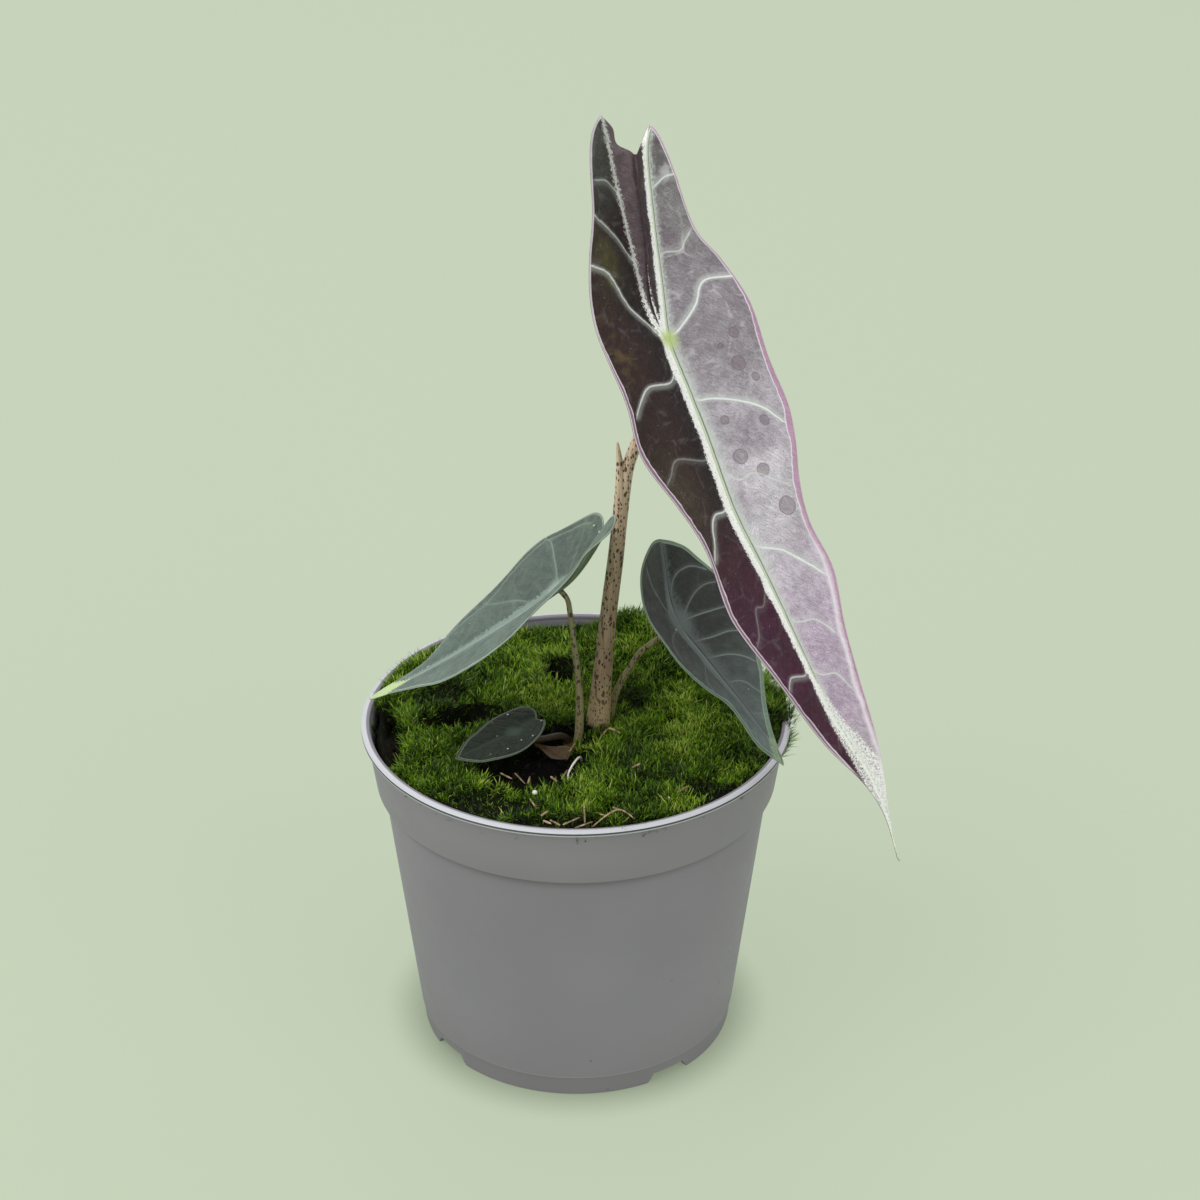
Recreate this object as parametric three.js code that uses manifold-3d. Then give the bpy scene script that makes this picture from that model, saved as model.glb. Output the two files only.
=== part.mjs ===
// A young Alocasia longiloba growing in a 12 cm nursery pot, under a carpet of moss.
// Millimetres, +Z up. The origin is on the pot's axis, at the surface the pot stands on.
// The pot's front, where the long leaf hangs out, faces -Y and +X.

import * as THREE from 'three';
import { mergeVertices } from 'three/addons/utils/BufferGeometryUtils.js';
import Module from 'manifold-3d';

const wasm = await Module();
wasm.setup();

// Driving sizes of the pot
const RIM_RADIUS = 60;
const POT_HEIGHT = 98;
const LIP_HEIGHT = 1.8;
const LIP_WIDTH = 2.6;
const WALL = 1.3;
const COLLAR_TOP_RADIUS = 58.6;
const COLLAR_LOW_RADIUS = 56.1;
const COLLAR_LOW_Z = 79.7;
const BODY_TOP_RADIUS = 54.3;
const BODY_LOW_RADIUS = 45.6;
const FOOT_HEIGHT = 6.5;
const FOOT_RADIUS = 44.7;
const FOOT_WALL = 2.2;
const FLOOR_UNDERSIDE = 3.2;
const FLOOR_THICKNESS = 1.5;
const HUB_UNDERSIDE = 1.2;
const HUB_RADIUS = 15;
const NOTCH_HEIGHT = 3;
const NOTCH_WIDTH = 14;
const NOTCH_ANGLES = [-54, 36, 126, 216];
const DRAIN_HALF_LENGTH = 5;
const DRAIN_HALF_WIDTH = 2.4;
const DRAIN_INSET = 7;
const POT_SIDES = 56;

// Soil and moss
const WALL_GAP = 0.4;
const SOIL_TOP = 91;
const MOSS_BOTTOM = 91.4;
const MOSS_LEVEL = 97.3;
const MOSS_RADIUS = 56.8;
const MOSS_OVERHANG = 3.4;
const BED_SIDES = 48;
const PIECE_GAP = 0.35;
const HEAP_CENTRE = [-6.6, -16.8];
const HEAP_TOP = 94.2;
const HEAP_RADIUS = 6.5;

// The buried stem that carries every leaf
const STEM_TOP = 92.3;
const STEM_CENTRE = [5, -3];
const STEM_RADIUS = 9;
const STEM_LENGTH = 34;
const ROOT_COUNT = 7;
const ROOT_RADIUS = 0.9;
const ROOT_REACH = 30;
const PETIOLE_FOOT = STEM_TOP + 0.5;

// Leaves: thickness of the blade, and how far the midrib stands out of its back
const MAIN_THICKNESS = 0.8;
const SMALL_THICKNESS = 0.7;
const MAIN_KEEL = 1.1;
const SMALL_KEEL = 0.5;
const JOINT_GAP = 0.3;

// A rear lobe may fold less than the rest: how far behind the junction that begins and is complete
const LOBE_FOLD_FROM = 14;
const LOBE_FOLD_TO = 30;

const DEGREE = Math.PI / 180;

const vec = (x, y, z) => new THREE.Vector3(x, y, z);
const smoothStep = (low, high, x) => THREE.MathUtils.smoothstep(x, low, high);
const hill = (x, y, cx, cy, reach) => Math.exp(-((x - cx) ** 2 + (y - cy) ** 2) / (reach * reach));

// A repeatable stream of numbers from 0 to 1
function randomStream(seed) {
  let state = seed;
  return () => {
    state = (state * 1664525 + 1013904223) % 4294967296;
    return state / 4294967296;
  };
}

// Closed meshes to solids and back, for joining and cutting
function toSolid(geometry) {
  const bare = geometry.clone();
  bare.deleteAttribute('normal');
  bare.deleteAttribute('uv');
  const merged = mergeVertices(bare, 1e-4);
  return new wasm.Manifold(new wasm.Mesh({
    numProp: 3,
    vertProperties: new Float32Array(merged.attributes.position.array),
    triVerts: new Uint32Array(merged.index.array),
  }));
}

function toGeometry(solid) {
  const mesh = solid.getMesh();
  const geometry = new THREE.BufferGeometry();
  geometry.setAttribute('position', new THREE.BufferAttribute(new Float32Array(mesh.vertProperties), 3));
  geometry.setIndex(new THREE.BufferAttribute(new Uint32Array(mesh.triVerts), 1));
  return geometry;
}

function indexedGeometry(points, triangles) {
  const geometry = new THREE.BufferGeometry();
  const flat = points.flatMap((p) => [p.x, p.y, p.z]);
  geometry.setAttribute('position', new THREE.Float32BufferAttribute(flat, 3));
  geometry.setIndex(triangles.flat());
  return geometry;
}

// A body turned round the Z axis; the profile is a list of [radius, height] from the axis to the axis
function turned(profile, sides) {
  const outline = profile.map(([r, z]) => new THREE.Vector2(r, z));
  return new THREE.LatheGeometry(outline, sides).rotateX(Math.PI / 2);
}

// A round tube along a smooth curve, with a radius at each of its points and flat ends
function taperedTube(points, radii, sides, steps) {
  const curve = new THREE.CatmullRomCurve3(points, false, 'centripetal');
  const frames = curve.computeFrenetFrames(steps, false);
  const vertices = [];
  const triangles = [];
  for (let i = 0; i <= steps; i += 1) {
    const at = i / steps;
    const centre = curve.getPointAt(at);
    const along = curve.getUtoTmapping(at) * (points.length - 1);
    const before = Math.min(Math.floor(along), points.length - 2);
    const radius = THREE.MathUtils.lerp(radii[before], radii[before + 1], along - before);
    for (let j = 0; j < sides; j += 1) {
      const turn = (j / sides) * 2 * Math.PI;
      vertices.push(centre.clone()
        .addScaledVector(frames.normals[i], Math.cos(turn) * radius)
        .addScaledVector(frames.binormals[i], Math.sin(turn) * radius));
    }
  }
  for (let i = 0; i < steps; i += 1) {
    for (let j = 0; j < sides; j += 1) {
      const next = (j + 1) % sides;
      const a = i * sides + j;
      const b = i * sides + next;
      triangles.push([a, b, a + sides], [b, b + sides, a + sides]);
    }
  }
  const last = steps * sides;
  for (let j = 1; j < sides - 1; j += 1) {
    triangles.push([0, j + 1, j], [last, last + j, last + j + 1]);
  }
  return indexedGeometry(vertices, triangles);
}

// The pot: a thin turned shell with a rolled lip, a stepped collar, a foot ring and a low hub
function potGeometry() {
  const lipInside = RIM_RADIUS - LIP_WIDTH;
  const lipBottom = POT_HEIGHT - LIP_HEIGHT;
  const floorTop = FLOOR_UNDERSIDE + FLOOR_THICKNESS;
  const hubTop = HUB_UNDERSIDE + FLOOR_THICKNESS;
  const shell = toSolid(turned([
    [0, HUB_UNDERSIDE],
    [HUB_RADIUS, HUB_UNDERSIDE],
    [HUB_RADIUS + 1.5, FLOOR_UNDERSIDE],
    [FOOT_RADIUS - FOOT_WALL, FLOOR_UNDERSIDE],
    [FOOT_RADIUS - FOOT_WALL + 0.2, 0],
    [FOOT_RADIUS - 0.5, 0],
    [FOOT_RADIUS, 0.6],
    [FOOT_RADIUS + 0.4, FOOT_HEIGHT - 0.3],
    [BODY_LOW_RADIUS, FOOT_HEIGHT],
    [BODY_TOP_RADIUS, COLLAR_LOW_Z - 0.6],
    [COLLAR_LOW_RADIUS - 0.5, COLLAR_LOW_Z - 0.4],
    [COLLAR_LOW_RADIUS, COLLAR_LOW_Z],
    [COLLAR_TOP_RADIUS, lipBottom],
    [RIM_RADIUS - 0.2, lipBottom],
    [RIM_RADIUS, lipBottom + 0.4],
    [RIM_RADIUS, POT_HEIGHT - 0.4],
    [RIM_RADIUS - 0.4, POT_HEIGHT],
    [lipInside + 0.5, POT_HEIGHT],
    [lipInside, POT_HEIGHT - 0.5],
    [COLLAR_LOW_RADIUS - WALL, COLLAR_LOW_Z],
    [BODY_TOP_RADIUS - WALL, COLLAR_LOW_Z - 2.5],
    [BODY_LOW_RADIUS - WALL, floorTop + 1.5],
    [BODY_LOW_RADIUS - WALL - 1.5, floorTop],
    [HUB_RADIUS, floorTop],
    [HUB_RADIUS - 1.5, hubTop],
    [0, hubTop],
  ], POT_SIDES));
  let pot = shell;
  for (const angle of NOTCH_ANGLES) {
    pot = pot.subtract(toSolid(notchGeometry(angle)));
    pot = pot.subtract(toSolid(drainGeometry(angle)));
  }
  return toGeometry(pot);
}

// A notch through the foot ring: wider at the bottom than at the top
function notchGeometry(angle) {
  const half = NOTCH_WIDTH / 2;
  const outline = new THREE.Shape([
    new THREE.Vector2(-half, -1),
    new THREE.Vector2(half, -1),
    new THREE.Vector2(half - 2, NOTCH_HEIGHT),
    new THREE.Vector2(2 - half, NOTCH_HEIGHT),
  ]);
  const bar = new THREE.ExtrudeGeometry(outline, { depth: 12, bevelEnabled: false });
  return bar.rotateX(Math.PI / 2).translate(0, 6 - FOOT_RADIUS, 0).rotateZ(angle * DEGREE);
}

// A drain hole through the floor, just inside the notch
function drainGeometry(angle) {
  const slot = new THREE.Shape().absellipse(0, 0, DRAIN_HALF_LENGTH, DRAIN_HALF_WIDTH, 0, 2 * Math.PI);
  const plug = new THREE.ExtrudeGeometry(slot, { depth: 8, bevelEnabled: false, curveSegments: 5 });
  return plug.translate(0, DRAIN_INSET - FOOT_RADIUS, 0.5).rotateZ(angle * DEGREE);
}

// Low rolling relief that moss and soil share
function relief(x, y) {
  return 0.7 * Math.sin(0.21 * x + 1.3) * Math.cos(0.17 * y - 0.4)
    + 0.45 * Math.sin(0.37 * x - 0.29 * y)
    + 0.3 * Math.cos(0.55 * y + 0.31 * x + 2);
}

// The moss's surface: a mound at the back right, thin at the back lip, swelling over the right lip
function mossTop(x, y) {
  return MOSS_LEVEL + relief(x, y)
    + 7.5 * hill(x, y, 24, 46, 19)
    + 3 * hill(x, y, -46, 26, 16)
    + 3.6 * hill(x, y, 58, 8, 17)
    - 2.6 * hill(x, y, -8, 60, 20)
    + 1.2 * hill(x, y, 14, -30, 16)
    - 0.8 * hill(x, y, -20, -52, 20);
}

// Bare soil shows in the hollows, where it is heaped towards the pot's left wall
function soilTop(x, y) {
  return SOIL_TOP - 1.2 + 0.8 * relief(y, x) + 3.4 * hill(x, y, -53.5, -9, 6);
}

// A closed round bed: a surface over a polar grid on a turned underside
function bedGeometry(edgeRadius, surface, underside) {
  const rings = [0.14, 0.28, 0.42, 0.55, 0.67, 0.78, 0.88, 0.95, 1];
  const points = [vec(0, 0, surface(0, 0))];
  const triangles = [];
  const ringPoint = (share, j) => {
    const turn = (j / BED_SIDES) * 2 * Math.PI;
    const radius = share * edgeRadius(turn);
    return [Math.cos(turn) * radius, Math.sin(turn) * radius];
  };
  for (const share of rings) {
    for (let j = 0; j < BED_SIDES; j += 1) {
      const [x, y] = ringPoint(share, j);
      points.push(vec(x, y, surface(x, y)));
    }
  }
  for (const [radius, z] of underside) {
    for (let j = 0; j < BED_SIDES; j += 1) {
      const turn = (j / BED_SIDES) * 2 * Math.PI;
      points.push(vec(Math.cos(turn) * radius, Math.sin(turn) * radius, z));
    }
  }
  points.push(vec(0, 0, underside[underside.length - 1][1]));
  const ringTotal = rings.length + underside.length;
  const last = points.length - 1;
  for (let j = 0; j < BED_SIDES; j += 1) {
    const next = (j + 1) % BED_SIDES;
    triangles.push([0, 1 + j, 1 + next]);
    for (let i = 0; i < ringTotal - 1; i += 1) {
      const inner = 1 + i * BED_SIDES;
      const outer = inner + BED_SIDES;
      triangles.push([inner + j, outer + j, outer + next], [inner + j, outer + next, inner + next]);
    }
    const low = 1 + (ringTotal - 1) * BED_SIDES;
    triangles.push([last, low + next, low + j]);
  }
  return indexedGeometry(points, triangles);
}

// Hollows in the moss: [centre x, centre y, half width, half depth, turn in degrees]
const HOLLOWS = [
  [-5.5, 27, 4, 6, 10],
  [-33.5, 3, 5.5, 5, 20],
  [-11.3, -22, 14, 13, 0],
  [-52.6, -9, 4, 17, 8],
];

function hollowGeometry([x, y, halfWidth, halfDepth, turn], index) {
  const random = randomStream(31 + index);
  const outline = new THREE.Shape(Array.from({ length: 11 }, (_, i) => {
    const angle = (i / 11) * 2 * Math.PI;
    const swell = 0.86 + 0.28 * random();
    return new THREE.Vector2(Math.cos(angle) * halfWidth * swell, Math.sin(angle) * halfDepth * swell);
  }));
  const plug = new THREE.ExtrudeGeometry(outline, { depth: 30, bevelEnabled: false });
  return plug.rotateZ(turn * DEGREE).translate(x, y, MOSS_BOTTOM - 5);
}

// The moss swells over the lip only on the right, so its edge reaches further there
function mossEdge(turn) {
  const fromRight = Math.abs(((turn + Math.PI) % (2 * Math.PI)) - Math.PI - 6 * DEGREE);
  return MOSS_RADIUS + MOSS_OVERHANG * (1 - smoothStep(16 * DEGREE, 34 * DEGREE, fromRight));
}

function mossGeometry(cutters) {
  let moss = toSolid(bedGeometry(mossEdge, mossTop, [[MOSS_RADIUS - 1, MOSS_BOTTOM]]));
  const lipSpace = turned([
    [MOSS_RADIUS - 1, MOSS_BOTTOM - 5],
    [RIM_RADIUS + 10, MOSS_BOTTOM - 5],
    [RIM_RADIUS + 10, POT_HEIGHT + PIECE_GAP],
    [MOSS_RADIUS + 0.1, POT_HEIGHT + PIECE_GAP],
    [MOSS_RADIUS - 1, MOSS_BOTTOM - 5],
  ], POT_SIDES);
  moss = moss.subtract(toSolid(lipSpace));
  HOLLOWS.forEach((hollow, index) => {
    moss = moss.subtract(toSolid(hollowGeometry(hollow, index)));
  });
  for (const cutter of cutters) {
    moss = moss.subtract(cutter);
  }
  const pieces = moss.decompose().sort((a, b) => b.volume() - a.volume());
  return toGeometry(pieces[0]);
}

function soilGeometry(cutters) {
  const collarInside = COLLAR_LOW_RADIUS - WALL - WALL_GAP;
  const bodyInside = BODY_TOP_RADIUS - WALL - WALL_GAP;
  const floorInside = BODY_LOW_RADIUS - WALL - WALL_GAP;
  const floorTop = FLOOR_UNDERSIDE + FLOOR_THICKNESS + WALL_GAP;
  const heap = turned([
    [0, HEAP_TOP - 8],
    [HEAP_RADIUS, HEAP_TOP - 8],
    [HEAP_RADIUS - 0.2, HEAP_TOP - 4.6],
    [HEAP_RADIUS - 2.5, HEAP_TOP - 1.2],
    [1.6, HEAP_TOP],
    [0, HEAP_TOP],
  ], 12);
  let soil = toSolid(bedGeometry(() => MOSS_RADIUS - 1.1, soilTop, [
    [collarInside, COLLAR_LOW_Z + 0.5],
    [bodyInside, COLLAR_LOW_Z - 2.2],
    [floorInside, floorTop + 1.5],
    [floorInside - 2, floorTop],
    [HUB_RADIUS + 2, floorTop],
  ])).add(toSolid(heap.translate(...HEAP_CENTRE, 0)));
  for (const cutter of cutters) {
    soil = soil.subtract(cutter);
  }
  const pieces = soil.decompose().sort((a, b) => b.volume() - a.volume());
  return toGeometry(pieces[0]);
}

// The buried stem with its roots; extra thickness gives the space that soil and moss leave for it
function stemSolid(extra) {
  const [x, y] = STEM_CENTRE;
  const body = taperedTube(
    [
      vec(x, y, STEM_TOP + extra),
      vec(x - 0.5, y + 0.5, STEM_TOP - 12),
      vec(x, y + 2, STEM_TOP - STEM_LENGTH),
    ],
    [STEM_RADIUS + extra, STEM_RADIUS * 0.85 + extra, 2.5 + extra], 14, 6);
  let stem = toSolid(body);
  const random = randomStream(7);
  for (let i = 0; i < ROOT_COUNT; i += 1) {
    const turn = (i / ROOT_COUNT) * 2 * Math.PI + 0.5 * random();
    const start = STEM_TOP - 10 - 18 * random();
    const reach = ROOT_REACH * (0.75 + 0.4 * random());
    const out = (share, swing) => [
      x + Math.cos(turn + swing) * reach * share,
      y + Math.sin(turn + swing) * reach * share,
    ];
    const route = [
      vec(...out(0.08, 0), start),
      vec(...out(0.4, 0.12), start - 4),
      vec(...out(0.72, -0.1), start - 14),
      vec(...out(1, 0.1), start - 27),
    ];
    const radii = [ROOT_RADIUS * 1.2 + extra, ROOT_RADIUS + extra, ROOT_RADIUS * 0.8 + extra, 0.4 + extra];
    stem = stem.add(toSolid(taperedTube(route, radii, 6, 6)));
  }
  return stem.add(toSolid(taperedTube(AIR_ROOT, AIR_ROOT.map(() => 0.4 + extra), 6, 12)));
}

// A pale root that climbs out of the hollow and arches over the moss
const AIR_ROOT = [
  vec(0, -8, 86),
  vec(1.4, -14, 90),
  vec(1.7, -18.5, 95),
  vec(0.8, -22.5, 97.8),
  vec(-0.9, -27.5, 98.2),
  vec(-1.9, -31.2, 97.8),
  vec(-1.9, -33.4, 96.6),
];

// Petioles: their centre lines from the buried stem to the blade, and their radius along them
function petioleSolid(petiole, extra) {
  const radii = petiole.radii.map((radius) => radius + extra);
  return toSolid(taperedTube(petiole.route, radii, petiole.sides, petiole.steps));
}

// The free, pointed end of the sheath that wraps the lower part of the long leaf's petiole
const SHEATH_ROUTE = [
  vec(11.2, -0.5, 150),
  vec(12, -0.6, 162),
  vec(12.2, -0.6, 173),
  vec(11.4, -0.6, 182.6),
];
const SHEATH_RADII = [1.9, 1.8, 1.3, 0.3];

// A leaf blade is drawn flat, [along the midrib towards the tip, across towards its own right],
// then hung from its junction: heading from the front, droop from vertical, each half folded up
// along its vein, and the base curled up more steeply than the rest.
function leafFrame(leaf) {
  const heading = leaf.heading * DEGREE;
  const droop = leaf.droop * DEGREE;
  const out = vec(Math.sin(heading), -Math.cos(heading), 0);
  return {
    junction: leaf.junction,
    along: out.clone().multiplyScalar(Math.sin(droop)).setZ(-Math.cos(droop)),
    across: vec(Math.cos(heading), Math.sin(heading), 0),
    up: out.clone().multiplyScalar(Math.cos(droop)).setZ(Math.sin(droop)),
  };
}

function leafPoint(frame, along, across, height) {
  return frame.junction.clone()
    .addScaledVector(frame.along, along)
    .addScaledVector(frame.across, across)
    .addScaledVector(frame.up, height);
}

// Evenly spaced points on a smooth flat curve, between two of its control points
function evenPoints(points, from, to, count) {
  const curve = new THREE.SplineCurve(points.map(([a, b]) => new THREE.Vector2(a, b)));
  const fine = 240;
  const samples = Array.from({ length: fine + 1 }, (_, i) => (
    curve.getPoint((from + ((to - from) * i) / fine) / (points.length - 1))));
  const lengths = [0];
  for (let i = 1; i <= fine; i += 1) {
    lengths.push(lengths[i - 1] + samples[i].distanceTo(samples[i - 1]));
  }
  return Array.from({ length: count + 1 }, (_, k) => {
    const target = (k / count) * lengths[fine];
    const after = Math.max(1, lengths.findIndex((length) => length >= target - 1e-9));
    const share = (target - lengths[after - 1]) / (lengths[after] - lengths[after - 1]);
    return samples[after - 1].clone().lerp(samples[after], share);
  });
}

// How far a blade point stands off the flat plane
function bladeHeight(leaf, strip, along, share, width) {
  const bend = along < 0 ? leaf.baseCurl * along * along : -leaf.arch * along * along;
  const tip = leaf.foldEnd ?? 1e9;
  const [foldBase, foldTip] = strip.fold;
  const foldLobe = strip.lobeFold ?? foldBase;
  const forward = THREE.MathUtils.lerp(foldBase, foldTip, smoothStep(0, tip, along));
  const inLobe = smoothStep(LOBE_FOLD_FROM, LOBE_FOLD_TO, -along);
  const fold = THREE.MathUtils.lerp(forward, foldLobe, inLobe) * DEGREE;
  const rise = Math.tan(fold) * width * share * (1 - (strip.flatten ?? 0.3) * share);
  const wave = leaf.wave * share * share * Math.sin((along / leaf.waveLength) * 2 * Math.PI + strip.phase);
  return bend + rise + wave;
}

// Rows of points from the vein out to the margin
function stripRows(leaf, strip) {
  const veinEnd = strip.vein.length - 1;
  const vein = evenPoints(strip.vein, 0, veinEnd, strip.rows);
  const margin = evenPoints(strip.margin, strip.from ?? 0, strip.to ?? strip.margin.length - 1, strip.rows);
  return vein.map((start, i) => strip.shares.map((share) => {
    const flat = start.clone().lerp(margin[i], share);
    const width = start.distanceTo(margin[i]);
    return { flat, share, height: bladeHeight(leaf, strip, flat.x, share, width) };
  }));
}

// The closed blade: upper and lower face share one set of triangles, a thickness apart
function bladeGeometry(leaf) {
  const frame = leafFrame(leaf);
  const places = new Map();
  const cells = [];
  const triangles = [];
  const indexOf = (cell) => {
    const key = `${cell.flat.x.toFixed(2)} ${cell.flat.y.toFixed(2)}`;
    if (!places.has(key)) {
      places.set(key, cells.length);
      cells.push(cell);
    }
    return places.get(key);
  };
  const addTriangle = (a, b, c, flip) => {
    if (a !== b && b !== c && c !== a) {
      triangles.push(flip ? [a, c, b] : [a, b, c]);
    }
  };
  for (const strip of leaf.strips) {
    const rows = stripRows(leaf, strip).map((row) => row.map(indexOf));
    for (let i = 0; i < rows.length - 1; i += 1) {
      for (let j = 0; j < rows[i].length - 1; j += 1) {
        const [a, b] = [rows[i][j], rows[i][j + 1]];
        const [c, d] = [rows[i + 1][j], rows[i + 1][j + 1]];
        addTriangle(a, b, d, strip.flip);
        addTriangle(a, d, c, strip.flip);
      }
    }
  }
  const half = leaf.thickness / 2;
  const keel = (cell) => {
    const fade = 1 - smoothStep(0.25, 1, Math.abs(cell.flat.x) / leaf.reach);
    return cell.share === 0 && cell.flat.x > -leaf.keelBack ? leaf.keel * fade : 0;
  };
  const face = (offset) => cells.map((cell) => (
    leafPoint(frame, cell.flat.x, cell.flat.y, cell.height + offset(cell))));
  const upper = face(() => half);
  const lower = face((cell) => -half - keel(cell));
  const total = cells.length;
  const open = new Map();
  for (const [a, b, c] of triangles) {
    for (const [from, to] of [[a, b], [b, c], [c, a]]) {
      if (open.has(`${to} ${from}`)) {
        open.delete(`${to} ${from}`);
      } else {
        open.set(`${from} ${to}`, [from, to]);
      }
    }
  }
  const closed = triangles.map(([a, b, c]) => [a, b, c]);
  closed.push(...triangles.map(([a, b, c]) => [a + total, c + total, b + total]));
  for (const [from, to] of open.values()) {
    closed.push([from, from + total, to + total], [from, to + total, to]);
  }
  return indexedGeometry([...upper, ...lower], closed);
}

// The long leaf, about 21 cm from its twin upper lobes to its tip
const MAIN_MIDRIB = [[0, -0.5], [25, -2.4], [47, -4.6], [66, -3.4], [105, -0.6], [127, 4.6], [149, 3.4]];
const MAIN_LEFT_VEIN = [[-59, 2], [-46, 2], [-27, 0.4], [-9, -2.5], [0, -0.5]];
const MAIN_RIGHT_VEIN = [[-53, 18], [-47, 14.9], [-30, 10.5], [-13, 5.2], [0, -0.5]];
const MAIN_LEFT_EDGE = [
  [-59, 2], [-54, -3.7], [-38, -10.6], [-26, -18.2], [-15, -23], [-1, -26.5], [12, -28], [25, -30.3],
  [40, -25.4], [54, -22.5], [68, -23.4], [76, -22.4], [92, -17], [112, -7.8], [126, 0], [137, 3.4],
  [149, 3.4],
];
const MAIN_RIGHT_EDGE = [
  [-53, 18], [-50, 19.5], [-38, 21], [-24, 21.8], [-14, 24.8], [-1, 26], [14, 24.6], [27, 23.5],
  [37, 20.4], [47, 16.8], [58, 15.2], [71, 15.7], [85, 12.7], [100, 11.4], [123, 8.5], [136, 6], [149, 3.4],
];
const MAIN_SEAM_OPEN = 0.5;
const MAIN_LEFT_INNER = [
  [-59, 2], [-55, 4.6], [-51, 4.9], [-46.3, 8.2 - MAIN_SEAM_OPEN], [-38, 6.3 - MAIN_SEAM_OPEN],
  [-26, 3.8], [-11, -0.4], [0, -0.5],
];
const MAIN_RIGHT_INNER = [
  [-53, 18], [-50, 14.6], [-47, 10.4], [-46.3, 8.2 + MAIN_SEAM_OPEN], [-38, 6.3 + MAIN_SEAM_OPEN],
  [-26, 3.8], [-11, -0.4], [0, -0.5],
];

const OUTER_SHARES = [0, 0.12, 0.4, 0.7, 1];
const INNER_SHARES = [0, 0.5, 1];
const mainLeaf = {
  junction: vec(24.4, -4, 213.6),
  heading: 45,
  droop: 38,
  arch: 0.0005,
  baseCurl: 0.0035,
  wave: 0.6,
  waveLength: 41,
  thickness: MAIN_THICKNESS,
  keel: MAIN_KEEL,
  keelBack: 1,
  reach: 149,
  strips: [
    { vein: MAIN_LEFT_VEIN, margin: MAIN_LEFT_EDGE, from: 0, to: 5, rows: 12, phase: 0 },
    { vein: MAIN_MIDRIB, margin: MAIN_LEFT_EDGE, from: 5, to: 16, rows: 24, phase: 0 },
    { vein: MAIN_RIGHT_VEIN, margin: MAIN_RIGHT_EDGE, from: 0, to: 5, rows: 12, phase: 2, flip: true },
    { vein: MAIN_MIDRIB, margin: MAIN_RIGHT_EDGE, from: 5, to: 16, rows: 24, phase: 2, flip: true },
  ].map((strip) => ({ ...strip, shares: OUTER_SHARES, fold: [18, 18] })).concat([
    { vein: MAIN_LEFT_VEIN, margin: MAIN_LEFT_INNER, rows: 12, phase: 0, flip: true },
    { vein: MAIN_RIGHT_VEIN, margin: MAIN_RIGHT_INNER, rows: 12, phase: 0 },
  ].map((strip) => ({ ...strip, shares: INNER_SHARES, fold: [22, 22], flatten: 0 }))),
};

// Two-sided leaves: one line of vein from the notch through the junction to the tip
function simpleLeaf(leaf) {
  const side = (margin, fold, lobeFold, phase, flip) => (
    { vein: leaf.spine, margin, rows: leaf.rows, shares: leaf.shares, fold, lobeFold, phase, flip });
  return {
    arch: 0,
    thickness: SMALL_THICKNESS,
    keel: SMALL_KEEL,
    keelBack: 0.5,
    reach: 60,
    ...leaf,
    strips: [
      side(leaf.leftEdge, leaf.leftFold, leaf.leftLobeFold, 0, false),
      side(leaf.rightEdge, leaf.rightFold, leaf.rightLobeFold, 2.2, true),
    ],
  };
}

const leftLeaf = simpleLeaf({
  junction: vec(-4.3, -7, 141.9),
  heading: -92,
  droop: 56,
  baseCurl: 0.018,
  wave: 0.35,
  waveLength: 26,
  rows: 22,
  shares: [0, 0.14, 0.55, 1],
  foldEnd: 28,
  leftFold: [16, 16],
  rightFold: [22, 5],
  rightLobeFold: -5,
  spine: [[-19, -3], [-11, -2.5], [0, 0], [17, 3], [38, 3.8], [51, 2.7], [63.7, 0]],
  leftEdge: [
    [-19, -3], [-19.6, -8], [-15.6, -15.6], [-8, -22], [0, -23.8], [7, -22.2], [16, -17.4], [25, -12.2],
    [35, -6.3], [43, -1.6], [54, 0.2], [63.7, 0],
  ],
  rightEdge: [
    [-19, -3], [-22.5, 0.5], [-27, 6], [-27, 11.5], [-20.5, 12.5], [-12.5, 12.5], [-4, 15.8], [4, 20],
    [14, 20], [24, 19.5], [37, 16.2], [43, 13.1], [50, 9], [57, 3.8], [63.7, 0],
  ],
});

const rightLeaf = simpleLeaf({
  junction: vec(27.8, -6, 130.6),
  heading: 50,
  droop: 50.7,
  baseCurl: 0.02,
  wave: 0.3,
  waveLength: 24,
  rows: 20,
  shares: [0, 0.14, 0.55, 1],
  leftFold: [26, 26],
  rightFold: [26, 26],
  spine: [[-21, 5.5], [-14, 4.6], [0, 0], [12, 0.2], [30, 1.2], [44, 1.2], [48.2, 0]],
  leftEdge: [
    [-21, 5.5], [-20.6, -0.8], [-16, -8.2], [-8.4, -11.4], [2, -12.9], [9, -13.3], [15, -11.6], [21, -8.7],
    [27, -5.6], [39, -5.5], [44, -3.4], [48.2, 0],
  ],
  rightEdge: [
    [-21, 5.5], [-18.2, 10], [-14, 13.8], [-4, 17.6], [5, 17.1], [14, 15.2], [23, 11.8], [32, 6.9],
    [40, 3.1], [48.2, 0],
  ],
});

const smallLeaf = simpleLeaf({
  junction: vec(-16.9, -15.5, 101.5),
  heading: -55.5,
  droop: 87,
  baseCurl: 0,
  wave: 0.15,
  waveLength: 14,
  rows: 14,
  shares: [0, 0.5, 1],
  keel: 0.2,
  leftFold: [8, 8],
  rightFold: [8, 8],
  spine: [[-9, -2], [-4.8, -1.3], [0, 0], [12, 0.8], [19.6, 0.8]],
  leftEdge: [
    [-9, -2], [-10.3, -4.6], [-9.7, -7.5], [-6.7, -9], [-0.5, -8.8], [7, -6.5], [13.5, -3.9], [19.6, 0.8],
  ],
  rightEdge: [
    [-9, -2], [-10, 0.4], [-8, 3.2], [-3.7, 7], [1.4, 9.5], [6.7, 10.1], [11.8, 9.4], [16, 7], [19.6, 0.8],
  ],
});

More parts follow.
